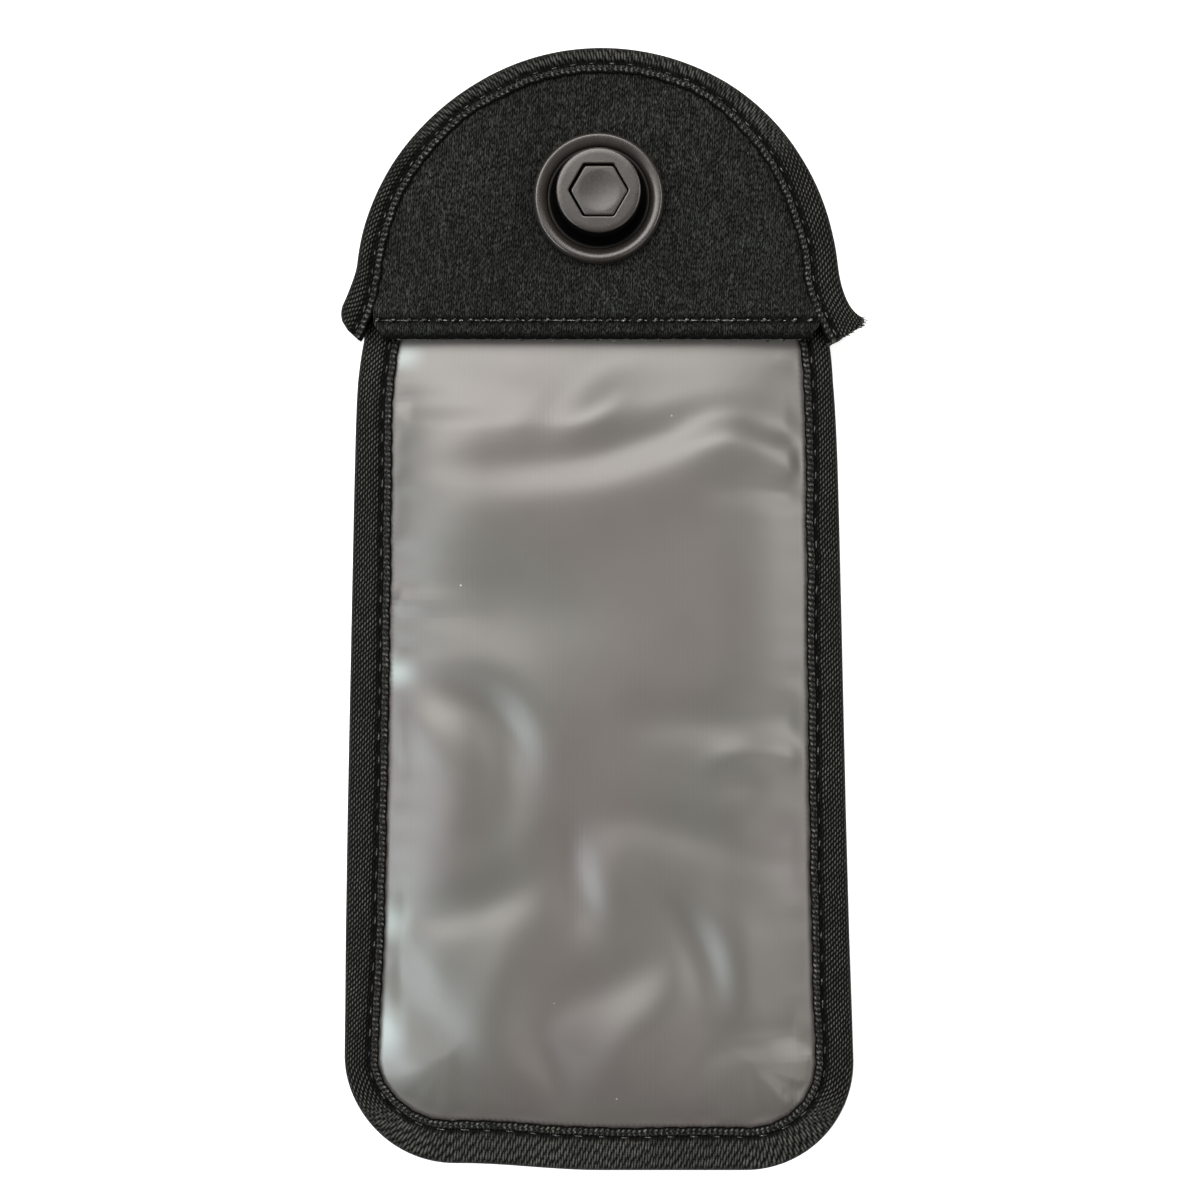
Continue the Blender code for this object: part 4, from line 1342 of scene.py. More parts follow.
    def loop(self, rails: Rails) -> tuple[np.ndarray, np.ndarray, np.ndarray]:
        """Closed section of the tape at each station.

        Args:
            rails: Rails with even stations.

        Returns:
            Distances in from the fold, heights off its middle, and the width at each station.
        """
        width = self.widths(rails)
        steps = self.upper_steps(width)
        upper = self.surface(steps, width, rails.along)
        lower = -np.minimum(self.surface(steps, width, rails.along + self.stitch_pitch / 2), self.face)
        inside = self.roll_depth - self.thickness
        turns = np.linspace(-math.pi / 2, math.pi / 2, 9)
        hollow_steps = np.broadcast_to(self.roll_depth - inside * np.cos(turns), (len(width), len(turns)))
        hollow = np.broadcast_to(self.slot * np.sin(turns), hollow_steps.shape)
        leg = width[:, None] - np.array([[0.0, 0.9, 1.5, 2.1, 2.7, 3.2]]) * MM
        pinch = self.valley_depth + 0.0002 - (self.face - self.slot - 0.0003)
        flat = self.slot - pinch * bell(leg - leg[:, 3:4], 0.0006)
        all_steps = np.concatenate([steps, steps[:, -2::-1], leg, hollow_steps, leg[:, ::-1]], axis=1)
        heights = np.concatenate([upper, lower[:, -2::-1], -flat, hollow, flat], axis=1)
        return all_steps, heights, width

    def build(self, *nodes: str) -> list[bpy.types.Object]:
        """Build the tape, its selvage cord and its threads.

        Args:
            *nodes: CAD nodes of the tape, its needle thread and its bobbin thread.

        Returns:
            The pieces.
        """
        rails = self.rails.spaced(self.station_step, self.seam_inset)
        if self.corner_round:
            rails = self.rounded(rails)
        steps, heights, width = self.loop(rails)
        plan = rails.outer[:, None] + rails.inward()[:, None] * steps[..., None]
        points = np.concatenate([plan, (self.middle + heights)[..., None]], axis=-1)
        draft = Draft()
        numbers = draft.place(
            self.lean.applied(points),
            along_mm=np.broadcast_to(rails.along[:, None] / MM, steps.shape),
            across_mm=steps / MM,
            lip_mm=(width[:, None] - steps) / MM,
        )
        draft.skin(numbers, wrap_columns=True)
        draft.cap(numbers[0])
        draft.cap(numbers[-1][::-1])
        tape = draft.piece(f"{self.name}_tape", self.cloth, Slot.TAPE)
        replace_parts(tape, nodes[0])
        cord = self.selvage()
        needle = self.stitches(f"{self.name}_needle_stitches", 1.0, 0.0)
        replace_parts(needle, nodes[1])
        bobbin = self.stitches(f"{self.name}_bobbin_stitches", -1.0, self.stitch_pitch / 2)
        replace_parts(bobbin, nodes[2])
        return [tape, cord, needle, bobbin]

    def selvage(self) -> bpy.types.Object:
        """Two-strand cord woven along the lips, above and below.

        Returns:
            The piece.
        """
        rails = self.rails.spaced(self.cord_step, self.seam_inset)
        keep = (rails.along >= self.cord_ends[0]) & (rails.along <= rails.along[-1] - self.cord_ends[1])
        width = self.widths(rails)
        base = rails.outer + rails.inward() * (width - self.cord_inset)[:, None]
        draft = Draft()
        for face in (1.0, -1.0):
            for strand in range(2):
                turn = face * rails.along / self.cord_lay * 2 * math.pi + strand * math.pi
                plan = base + rails.inward() * (np.cos(turn) * self.cord_reach)[:, None]
                swing = self.cord_reach * 0.4
                level = self.face - self.cord_radius - swing + (self.cord_lift if face > 0 else 0.0)
                height = self.middle + face * (level + np.sin(turn) * swing)
                route = np.concatenate([plan, height[:, None]], axis=1)[keep]
                radius = np.full(len(route), self.cord_radius)
                marks = {"along_mm": turn[keep] / (2 * math.pi)}
                draft.tube(self.lean.applied(route), radius, 6, **marks)
        return draft.piece(f"{self.name}_selvage_cord", self.cord, Slot.TAPE)

    def stitches(self, name: str, face: float, shift: float) -> bpy.types.Object:
        """Thread of the seam, which dips into the tape at each needle hole.

        Args:
            name: Name of the piece.
            face: 1 above the tape, -1 below it.
            shift: How far the stitches are shifted along the seam.

        Returns:
            The piece.
        """
        rails = self.rails.spaced(self.thread_step, self.seam_inset)
        width = self.widths(rails)
        dice = np.random.default_rng(self.seed + 5)
        phase = (rails.along + shift) / self.stitch_pitch
        jitter = dice.uniform(-1.0, 1.0, int(phase.max()) + 2)[phase.astype(int)]
        inside = phase % 1.0 - 0.5
        rise = bell(inside, 0.22)
        seam = width - self.seam_inset - 0.0001 + inside * 0.0004 * face + jitter * 0.00006
        plan = rails.outer + rails.inward() * seam[:, None]
        height = self.face - self.thread_sink + self.thread_rise * rise + jitter * 0.00004
        route = np.concatenate([plan, (self.middle + face * height)[:, None]], axis=1)
        draft = Draft()
        radius = np.full(len(route), self.thread_radius)
        draft.tube(self.lean.applied(route), radius, 6, along_mm=rails.along / MM)
        return draft.piece(name, self.thread, Slot.THREAD)


@dataclass
class FrayedTail:
    """Cut end of the front binding on the right, with its warp yarns come loose."""

    plan: Plan
    lean: Lean
    yarn: bpy.types.Material
    hairs: int = 170
    seed: int = 41
    hair_radius: float = 0.00005
    length_range: tuple[float, float] = (0.0005, 0.0015)

    def build(self, rails: Rails) -> bpy.types.Object:
        """Build the loose yarns on the cut end.

        Args:
            rails: Rails of the front binding, whose first station is the cut end.

        Returns:
            The piece.
        """
        dice = np.random.default_rng(self.seed)
        outer, inner = rails.outer[0], rails.inner[0]
        away = rails.outer[0] - rails.outer[8]
        away /= np.linalg.norm(away)
        across = (inner - outer) / np.linalg.norm(inner - outer)
        width = float(np.linalg.norm(inner - outer))
        draft = Draft()
        for _ in range(self.hairs):
            share = dice.uniform(0.02, 1.0)
            layer = dice.choice([self.plan.front_tape_bottom + 0.0004, self.plan.front_tape_top - 0.0004])
            short = max(self.plan.tail_corner_round - width * share, 0.0)
            back = self.plan.tail_corner_round - math.sqrt(self.plan.tail_corner_round**2 - short**2)
            root = outer + across * width * share - away * (back + 0.0004)
            length = dice.uniform(*self.length_range) * (1.15 - 0.6 * share)
            turn = dice.normal(0.0, 0.55)
            curl = dice.normal(0.0, 1.3)
            steps = np.linspace(0.0, 1.0, 9)
            angle = turn + curl * steps
            heading = away[None] * np.cos(angle)[:, None] + across[None] * np.sin(angle)[:, None]
            walk = np.concatenate([np.zeros((1, 2)), np.cumsum(heading[1:] * length / 8, axis=0)])
            lift = dice.uniform(-0.0005, 0.0009) * steps**1.5
            route = np.concatenate([root + walk, (layer + lift)[:, None]], axis=1)
            radius = self.hair_radius * dice.uniform(0.7, 1.9) * (1 - 0.5 * steps)
            draft.tube(self.lean.applied(route), radius, 5, along_mm=steps * length / MM)
        return draft.piece("right_tail_loose_yarns", self.yarn, Slot.TAPE)


@dataclass
class FrontFlap:
    """Neoprene flap with its hem folded under, topstitched and sunk round the lock."""

    plan: Plan
    lean: Lean
    knit: bpy.types.Material
    thread: bpy.types.Material
    hem_half_width: float = 0.0443
    corner_cut: float = 0.0016
    stitch_setback: float = 0.0036
    allowance_depth: float = 0.006
    allowance: float = 0.0012
    fold_reach: float = 0.0018
    ramp: float = 0.0027
    stitch_pitch: float = 0.00306
    valley_depth: float = 0.00062
    valley_reach: float = 0.00055
    hem_puff: float = 0.00022
    hem_wave: float = 0.00012
    lock_sink: float = 0.00038
    flange_radius: float = 0.0131
    washer_radius: float = 0.0087
    neck_hole: float = 0.0048
    columns: int = 110
    flat: tuple[float, float] = (0.0924, 0.0650)
    flat_area: float = 0.0051

    @property
    def sheet_bottom(self) -> float:
        """Underside of the sheet at the hem."""
        return self.plan.front_tape_bottom + self.allowance + self.plan.gap

    @property
    def sheet_top(self) -> float:
        """Upper face of the sheet at the hem."""
        return self.sheet_bottom + self.plan.neoprene

    @property
    def stitch_y(self) -> float:
        """Line of the hem's stitches."""
        return self.plan.hem_y + self.stitch_setback

    def ramp_share(self, y: np.ndarray) -> np.ndarray:
        """How far the sheet has risen onto the hem, from 0 on the flat to 1."""
        foot = self.plan.hem_y + self.allowance_depth + self.plan.gap
        return 1 - ease((y - foot + 0.0006) / (self.ramp + 0.0012))

    def half_width(self, y: np.ndarray) -> np.ndarray:
        """Half-width of the sheet, inside the binding's fold and clear of its tails.

        Args:
            y: Places along Y.

        Returns:
            The half-width at each place.
        """
        arc = self.plan.arc_half_width(y, self.plan.roll_depth)
        side = self.hem_half_width + 0.0022 * ease((y - 0.0600) / 0.009)
        cut = self.corner_cut * ease((self.stitch_y - y) / self.stitch_setback)
        return np.minimum(arc, side + 10 * np.maximum(y - 0.0685, 0.0)) - cut

    def section(self) -> np.ndarray:
        """Closed section of the sheet through its hem, as rows of (y, z, face).

        Returns:
            Points from the arc's end over the upper face, round the fold and back below. The
            third number is 1 on the upper face, -1 below and 0 at the hem's fold.
        """
        plan = self.plan
        arc_end = math.radians(plan.arc_end_degrees)
        end = plan.flap_centre_y + (plan.flap_radius - plan.roll_depth) * math.sin(arc_end)
        start = plan.flap_centre_y
        angles = np.linspace(arc_end, 0.0, 74)
        high = start + (end - start) * np.sin(angles) / math.sin(arc_end)
        low = np.linspace(start, plan.hem_y + self.fold_reach, 34)[1:]
        ys = np.concatenate([high, low])
        lift = self.ramp_share(ys)
        top = plan.front_top + (self.sheet_top - plan.front_top) * lift
        bottom = plan.front_bottom + (self.sheet_bottom - plan.front_bottom) * lift
        turns = np.linspace(0.0, math.pi, 15)[1:-1]
        fold_y = plan.hem_y + self.fold_reach
        fold_z = (plan.front_tape_bottom + self.sheet_top) / 2
        fold_height = (self.sheet_top - plan.front_tape_bottom) / 2
        fold = np.stack([
            fold_y - self.fold_reach * np.sin(turns),
            fold_z + fold_height * np.cos(turns),
            np.cos(turns),
        ], axis=1)
        allowance_y = np.linspace(fold_y, plan.hem_y + self.allowance_depth, 8)
        under = plan.front_tape_bottom
        rows = [
            np.stack([ys, top, np.ones_like(ys)], axis=1),
            fold,
            np.stack([allowance_y, np.full(8, under), np.full(8, -0.5)], axis=1),
            np.stack([allowance_y[::-1], np.full(8, under + self.allowance), np.full(8, -0.5)], axis=1),
            np.stack([ys[::-1], bottom[::-1], np.full(len(ys), -1.0)], axis=1)[1:],
        ]
        return np.concatenate(rows)

    def build(self) -> list[bpy.types.Object]:
        """Build the flap and its stitches.

        Returns:
            The sheet, its topstitching and the second row of stitches.
        """
        section = self.section()
        y, z, face = (section[:, k][:, None] for k in range(3))
        across = np.linspace(-1.0, 1.0, self.columns)[None]
        x = self.half_width(y) * across
        y, z, face = (np.broadcast_to(a, x.shape) for a in (y, z, face))
        upper, lower = np.clip(face, 0, 1), np.clip(-face * 2 - 1, 0, 1)
        radius = np.hypot(x, y - self.plan.lock_y)
        sink = self.lock_sink * (1 - ease((radius - self.flange_radius) / 0.0035))
        washer = self.lock_sink * (1 - ease((radius - self.washer_radius) / 0.003))
        pull = self.stitch_pull(x)
        valley = bell(y - self.stitch_y, self.valley_reach) * self.valley_depth * (0.65 + 0.5 * pull)
        puff = self.hem_puff * bell(y - self.plan.hem_y - 0.0017, 0.0012) * (1 - 0.5 * pull)
        sway = Ripple(3, 0.021, 0.00006).at(x, y) + Ripple(4, 0.006, 0.00002).at(x, y)
        sway = sway * ease((radius - 0.0135) / 0.006)
        z = z + upper * (sway - sink - valley + puff) + lower * washer
        wave = self.hem_wave * pull * bell(y - self.plan.hem_y, 0.0012)
        points = self.lean.applied(np.stack([x, y + wave, z], axis=-1))
        # Painted shade: the tuck mark darkens the knit along the stitch line, most at each needle hole, and
        # along the hem's fold.
        tuck = bell(y - self.stitch_y, 0.0008) * (0.7 + 0.5 * pull) + bell(y - self.plan.hem_y, 0.0009) * 0.8
        draft = Draft()
        numbers = draft.place(points, tuck=np.clip(tuck, 0.0, 1.0))
        draft.skin(numbers, wrap_rows=True)
        for column in (0, -1):
            ring = numbers[:, column]
            outline = [Vector((row[0], row[1], 0.0)) for row in section]
            for triangle in geometry.tessellate_polygon([outline]):
                draft.faces.append([int(ring[k]) for k in triangle])
        flap = draft.piece("front_flap_sheet", self.knit, Slot.NEOPRENE)
        punch(flap, self.plan.lock_y, self.neck_hole, self.sheet_top)
        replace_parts(flap, "front_flap")
        return [flap, self.hem_stitches(), self.under_stitches()]

    def stitch_pull(self, x: np.ndarray) -> np.ndarray:
        """How much the hem's stitches pull, 1 at each needle hole."""
        phase = (x / self.stitch_pitch) % 1.0
        return bell(np.minimum(phase, 1 - phase), 0.17)

    def hem_stitches(self) -> bpy.types.Object:
        """Topstitching of the hem, bright where it comes up beside each hole.

        Returns:
            The thread.
        """
        reach = self.hem_half_width - 0.0006
        x = np.arange(-reach, reach, 0.00018)
        phase = (x / self.stitch_pitch) % 1.0
        knot = bell(phase - 0.78, 0.12)
        slant = 0.0003 * (phase - 0.78) / 0.12 * knot
        dive = bell(np.minimum(phase, 1 - phase), 0.07)
        y = self.stitch_y + slant
        z = self.sheet_top - 0.00056 + 0.00066 * knot + 0.00008 * bell(phase - 0.4, 0.25) - 0.0004 * dive
        draft = Draft()
        route = self.lean.applied(np.stack([x, y, z], axis=1))
        radius = 0.00012 + 0.00011 * knot
        draft.tube(route, radius, 7, along_mm=x / MM)
        piece = draft.piece("hem_topstitches", self.thread, Slot.THREAD)
        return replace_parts(piece, "hem_thread")

    def under_stitches(self) -> bpy.types.Object:
        """Second row of stitches, which peeks out below the hem's fold.

        Returns:
            The thread.
        """
        reach = self.hem_half_width - 0.0022
        x = np.arange(-reach, reach, 0.0002)
        phase = (x / self.stitch_pitch + 0.35) % 1.0
        out = bell(phase - 0.5, 0.2)
        dice = np.random.default_rng(71)
        reach_out = dice.uniform(0.5, 1.0, int(2 * reach / self.stitch_pitch) + 3)
        stitch = ((x + reach) / self.stitch_pitch).astype(int)
        y = self.plan.hem_y + 0.0007 - 0.0010 * out * reach_out[stitch]
        z = self.plan.front_tape_bottom - 0.00005 + 0.0006 * bell(phase - 0.5, 0.35)
        draft = Draft()
        route = self.lean.applied(np.stack([x, y, z], axis=1))
        draft.tube(route, np.full(len(x), 0.00014), 6, along_mm=x / MM)
        return draft.piece("film_hem_stitches", self.thread, Slot.THREAD)


@dataclass
class BackPanel:
    """Neoprene back of the pouch, in one sheet from the arc to the foot."""

    plan: Plan
    lean: Lean
    knit: bpy.types.Material
    button_radius: float = 0.0113
    button_sink: float = 0.00078
    washer_radius: float = 0.0073
    washer_sink: float = 0.00038
    pin_hole: float = 0.0013
    columns: int = 76
    flat: tuple[float, float] = (0.0986, 0.2204)
    flat_area: float = 0.0200

    def build(self) -> bpy.types.Object:
        """Build the panel.

        Returns:
            The sheet.
        """
        plan = self.plan
        angles = np.radians(np.linspace(plan.arc_end_degrees, 0.0, 52))
        arc_y = plan.flap_centre_y + (plan.flap_radius - plan.roll_depth) * np.sin(angles)
        side_y = np.linspace(plan.flap_centre_y, plan.corner_y, 128)[1:]
        turns = np.radians(np.linspace(0.0, 90.0, 22)[1:])
        foot_y = plan.corner_y - (plan.corner_radius - plan.roll_depth) * np.sin(turns)
        y = np.concatenate([arc_y, side_y, foot_y])[:, None]
        half = np.where(
            y > plan.flap_centre_y,
            plan.arc_half_width(y, plan.roll_depth),
            plan.body_half_width(y, plan.roll_depth),
        )
        x = half * np.linspace(-1.0, 1.0, self.columns)[None]
        y = np.broadcast_to(y, x.shape)
        radius = np.hypot(x, y - plan.lock_y)
        sway = Ripple(11, 0.03, 0.00009).at(x, y) * ease((radius - 0.012) / 0.008)
        edge = ease((half - np.abs(x)) / 0.006)
        washer = self.washer_sink * (1 - ease((radius - self.washer_radius) / 0.003))
        top = plan.back_top + sway * edge - washer
        bottom = plan.back_bottom + sway * edge
        bottom = bottom + self.button_sink * (1 - ease((radius - self.button_radius) / 0.0025))
        draft = Draft()
        draft.sheet(*(self.lean.applied(np.stack([x, y, z], axis=-1)) for z in (top, bottom)))
        panel = draft.piece("back_panel_sheet", self.knit, Slot.NEOPRENE)
        punch(panel, plan.lock_y, self.pin_hole, plan.back_top)
        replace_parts(panel, "back_panel")
        return panel


@dataclass(frozen=True)
class Fold:
    """One soft ridge or valley of the film along a route, in millimetres."""

    width: float
    route: tuple[tuple[float, float, float], ...]

    def at(self, x: np.ndarray, y: np.ndarray) -> np.ndarray:
        """Height of the fold at places in millimetres.

        Args:
            x: Places along X.
            y: Places along Y.

        Returns:
            The height in millimetres.
        """
        stops = np.array(self.route)
        legs = np.linalg.norm(np.diff(stops[:, :2], axis=0), axis=1)
        run = np.concatenate([[0.0], np.cumsum(legs)])
        count = max(2, int(math.ceil(run[-1] / (self.width / 2))) + 1)
        at = np.linspace(0.0, run[-1], count)
        step = run[-1] / (count - 1)
        beads = np.stack([np.interp(at, run, stops[:, k]) for k in range(3)], axis=1)
        total = np.zeros(x.shape)
        for bead_x, bead_y, height in beads:
            total += height * np.exp(-((x - bead_x) ** 2 + (y - bead_y) ** 2) / self.width**2)
        return total * step / (math.sqrt(math.pi) * self.width)


@dataclass
class WindowFilm:
    """Frosted film of the window, clamped by the tape and standing up over the pocket."""

    plan: Plan
    lean: Lean
    frost: bpy.types.Material
    flat_margin: float = 0.0003
    slope: float = 0.019
    crown: float = 0.0041
    crown_ends: float = 0.0004
    floor_round: float = 0.00035
    saddle_y: float = -0.030
    saddle_reach: float = 0.048
    hem_rise: float = 0.00095
    hem_ramp: float = 0.018
    pucker_length: float = 0.0075
    pucker_height: float = 0.00019
    pucker_reach: float = 0.0060
    neck_notch: float = 0.0054
    seam_pinch: float = 0.00028
    seam_pinch_reach: float = 0.0009
    top_y: float = 0.0590
    columns: int = 150
    rows: int = 250
    flat: tuple[float, float] = (0.0985, 0.1692)
    flat_area: float = 0.0163
    folds: tuple[Fold, ...] = (
        Fold(5.0, ((-30, 28.0, -0.2), (-19, 28.6, -0.7), (-1, 30.6, -1.1), (12, 35.0, -1.25),
                   (20, 38.6, -1.3), (27, 40.6, -1.25), (31, 39.8, -1.1), (36, 37.0, -1.2),
                   (43, 35.6, -1.1))),
        Fold(9.5, ((-34, 22, 0.2), (-20, 24, 0.7), (0, 25, 0.9), (14, 29, 0.8), (28, 34, 0.5))),
        Fold(4.0, ((20, 33.0, 0.3), (27, 34.6, 0.6), (32, 33.5, 0.8), (37, 31.6, 1.0), (43, 30.8, 1.0))),
        Fold(3.2, ((22, 25, -0.2), (30, 25, -0.6), (42, 23, -0.7))),
        Fold(3.2, ((30, 29.5, 0.3), (42, 28.5, 0.5))),
        Fold(4.4, ((-11, 37, -0.3), (-6, 43, -0.8), (0, 52, -0.6))),
        Fold(4.0, ((-1, 37, 0.4), (3.5, 43, 0.7), (9, 51, 0.5))),
        Fold(4.6, ((-42, 42, -0.5), (-30, 42, -0.9), (-18, 41, -0.5))),
        Fold(9, ((-34, 2, -0.6), (-20, 3, -0.9), (0, 0, -0.6))),
        Fold(5.2, ((-33, -15, -0.3), (-26, -17, -1.2), (-20.5, -20.5, -1.7), (-17, -26, -1.6),
                   (-17, -35, -0.8), (-19, -46, -0.4))),
        Fold(6.0, ((-24, -9, 0.4), (-16, -12, 0.7), (-10.5, -17, 0.9), (-8, -25, 0.8), (-8, -35, 0.3))),
        Fold(6.0, ((-36, -23, 0.5), (-29, -25, 0.6), (-26, -33, 0.6), (-29, -43, 0.5))),
        Fold(4, ((-43, -20, -0.5), (-41, -34, -0.5))),
        Fold(5.2, ((-41, -60.5, -0.8), (-29, -59.5, -1.1), (-17, -55.5, -0.8), (-11, -50, -0.4))),
        Fold(5.6, ((-43, -66, -0.5), (-38, -76, -0.9), (-31, -86, -0.8))),
        Fold(6, ((-13, -61, 0.5), (-20, -72, 1.1), (-22, -84, 1.1), (-17, -95, 0.6))),
        Fold(5, ((-13, -83, -0.5), (-9, -78, -0.8), (0, -74.5, -0.7), (9, -69.5, -0.6))),
        Fold(4.2, ((-12, -84, -0.5), (-8.5, -92, -0.9), (-6, -98, -0.7))),
        Fold(5.5, ((16.5, -70, 0.5), (13, -79, 1.2), (5, -84.5, 1.2), (1, -93, 0.8))),
        Fold(5.0, ((-5.5, -43, -0.9), (-5.5, -52, -1.6), (-3.0, -62, -1.2))),
        Fold(6.0, ((3.5, -46, 0.8), (3.5, -57, 1.0))),
        Fold(4.4, ((4, -40, -0.6), (18, -43.5, -0.8), (32, -48, -0.6), (42, -52, -0.4))),
        Fold(4.6, ((14, -59, -0.5), (17.5, -62.5, -1.3), (20.6, -69, -1.6), (22.0, -76, -1.2),
                   (24, -82, -0.4))),
        Fold(5.0, ((23, -57, 0.5), (28.5, -65, 1.0), (29.5, -76, 0.7))),
        Fold(3.0, ((22, -30, 0.2), (29, -28.2, 0.6), (36, -27.8, 0.65), (42, -29.4, 0.5))),
        Fold(3.2, ((25, -34, -0.5), (31, -33.4, -0.5))),
        Fold(4.4, ((8, -21, -0.4), (24, -21.5, -0.8), (33, -20.5, -0.9), (42, -22, -0.8))),
        Fold(3.2, ((32, -43.5, -0.4), (42, -45, -0.5))),
        Fold(4.2, ((17, -93, -0.6), (20, -87.5, -0.9), (30, -85, -1.1), (43, -83.5, -1.0))),
    )

    def from_lip(self, x: np.ndarray, y: np.ndarray) -> tuple[np.ndarray, np.ndarray]:
        """Where places lie beside the tape's lip.

        Args:
            x: Places along X.
            y: Places along Y.

        Returns:
            Their distances in from the lip, negative under the tape, and how far along it they
            are.
        """
        rails = self.plan.body_rails(self.top_y).spaced(0.0012, self.plan.seam_inset)
        places = np.stack([x.reshape(-1), y.reshape(-1)], axis=1)
        nearest = np.full(len(places), np.inf)
        signed = np.zeros(len(places))
        run = np.zeros(len(places))
        for lip, toward, along in zip(rails.inner, rails.inward(), rails.along):
            step = places - lip
            distance = np.hypot(step[:, 0], step[:, 1])
            closer = distance < nearest
            nearest = np.where(closer, distance, nearest)
            signed = np.where(closer, np.sign(step @ toward) * distance, signed)
            run = np.where(closer, along, run)
        return signed.reshape(x.shape), run.reshape(x.shape)

    def relief(self, x: np.ndarray, y: np.ndarray) -> np.ndarray:
        """Height of all the film's folds at places in plan."""
        x_mm, y_mm = x / MM, y / MM
        return sum(fold.at(x_mm, y_mm) for fold in self.folds) * MM

    def puckers(self, inside: np.ndarray, along: np.ndarray) -> np.ndarray:
        """Height of the small gathers beside the seam.

        Args:
            inside: Distances in from the lip.
            along: Distances along it.

        Returns:
            The height.
        """
        level = np.zeros_like(along)
        wave = Ripple(61, self.pucker_length, 1.0).at(along, level)
        strength = 0.35 + np.abs(Ripple(62, 0.06, 0.9).at(along, level))
        reach = np.exp(-np.maximum(inside, 0.0) / self.pucker_reach) * ease(inside / 0.002)
        return self.pucker_height * wave * strength * reach

    def build(self) -> bpy.types.Object:
        """Build the film.

        Returns:
            The sheet.
        """
        plan = self.plan
        turns = np.radians(np.linspace(0.0, 90.0, 40)[1:])
        foot_y = plan.corner_y - (plan.corner_radius - plan.roll_depth) * np.sin(turns)
        y = np.concatenate([np.linspace(self.top_y, plan.corner_y, self.rows), foot_y])[:, None]
        half = plan.body_half_width(y, plan.roll_depth)
        half = half - self.neck_notch * ease((y - plan.join_y + 0.0012) / 0.0004)
        x = half * np.linspace(-1.0, 1.0, self.columns)[None]
        y = np.broadcast_to(y, x.shape)
        inside, along = self.from_lip(x, y)
        loose = 1 - (1 - np.clip((inside - self.flat_margin) / self.slope, 0, 1)) ** 2.2
        open_pocket = ease((plan.hem_y - y) / self.hem_ramp)
        crown = self.crown + self.crown_ends * (1 - bell(y - self.saddle_y, self.saddle_reach))
        crown = self.hem_rise + (crown - self.hem_rise) * open_pocket
        near = ease(inside / 0.0042)
        height = loose * crown + near * open_pocket * self.relief(x, y) + self.puckers(inside, along)
        pinch = self.seam_pinch * bell(inside + plan.seam_inset, self.seam_pinch_reach)
        height = (height + np.sqrt(height**2 + self.floor_round**2) - self.floor_round) / 2
        bottom = plan.film_edge + height - pinch
        faces = (self.lean.applied(np.stack([x, y, z], axis=-1)) for z in (bottom + plan.film, bottom))
        draft = Draft()
        draft.sheet(*faces, lip_mm=inside / MM)
        film = draft.piece("window_film_sheet", self.frost, Slot.FILM)
        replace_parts(film, "window_film")
        return film


@dataclass
class TurnedForm:
    """Form made of level loops about the lock's axis, some round and some six-sided."""

    axis_y: float
    steps: int = 120

    def angles(self) -> np.ndarray:
        """Angles of the points of each loop."""
        return np.linspace(0.0, 2 * math.pi, self.steps, endpoint=False)

    def circle(self, radius: float | np.ndarray, height: float) -> np.ndarray:
        """Level loop at a height.

        Args:
            radius: Distance of its points from the axis, one number or one for each point.
            height: Height of the loop.

        Returns:
            The loop's points.
        """
        turn = self.angles()
        x, y = radius * np.cos(turn), self.axis_y + radius * np.sin(turn)
        return np.stack([x, y, np.full_like(turn, height)], axis=1)

    def hexagon(self, flats: float, height: float, crisp: float = 46.0) -> np.ndarray:
        """Six-sided loop with slightly rounded corners, one of them on +X.

        Args:
            flats: Width across the flats.
            height: Height of the loop.
            crisp: How sharp the corners are.

        Returns:
            The loop's points.
        """
        turn = self.angles()
        normals = np.radians(np.arange(30.0, 390.0, 60.0))
        reach = np.maximum(np.cos(turn[:, None] - normals[None]), 0.0)
        return self.circle(flats / 2 / (reach**crisp).sum(axis=1) ** (1 / crisp), height)

    def arc(
        self,
        centre: tuple[float, float],
        radii: float | tuple[float, float],
        start: float,
        end: float,
        steps: int,
    ) -> list[np.ndarray]:
        """Round loops along an arc of the section.

        Args:
            centre: Distance from the axis and height of the arc's centre.
            radii: Radius of the arc, or its reach outwards and its reach upwards.
            start: First angle in degrees, from outwards to upwards.
            end: Last angle in degrees.
            steps: How many loops.

        Returns:
            The loops.
        """
        outwards, upwards = radii if isinstance(radii, tuple) else (radii, radii)
        return [
            self.circle(centre[0] + outwards * math.cos(turn), centre[1] + upwards * math.sin(turn))
            for turn in np.radians(np.linspace(start, end, steps))
        ]

    def solid(self, loops: list[np.ndarray], ring: bool) -> Draft:
        """Join loops into a closed solid.

        Args:
            loops: Loops in order along the section.
            ring: Whether the last loop joins the first, or both ends are closed.

        Returns:
            The draft of the solid.
        """
        draft = Draft()
        numbers = draft.place(np.stack(loops))
        draft.skin(numbers, wrap_rows=ring, wrap_columns=True)
        if not ring:
            draft.cap(numbers[0])
            draft.cap(numbers[-1][::-1])
        return draft


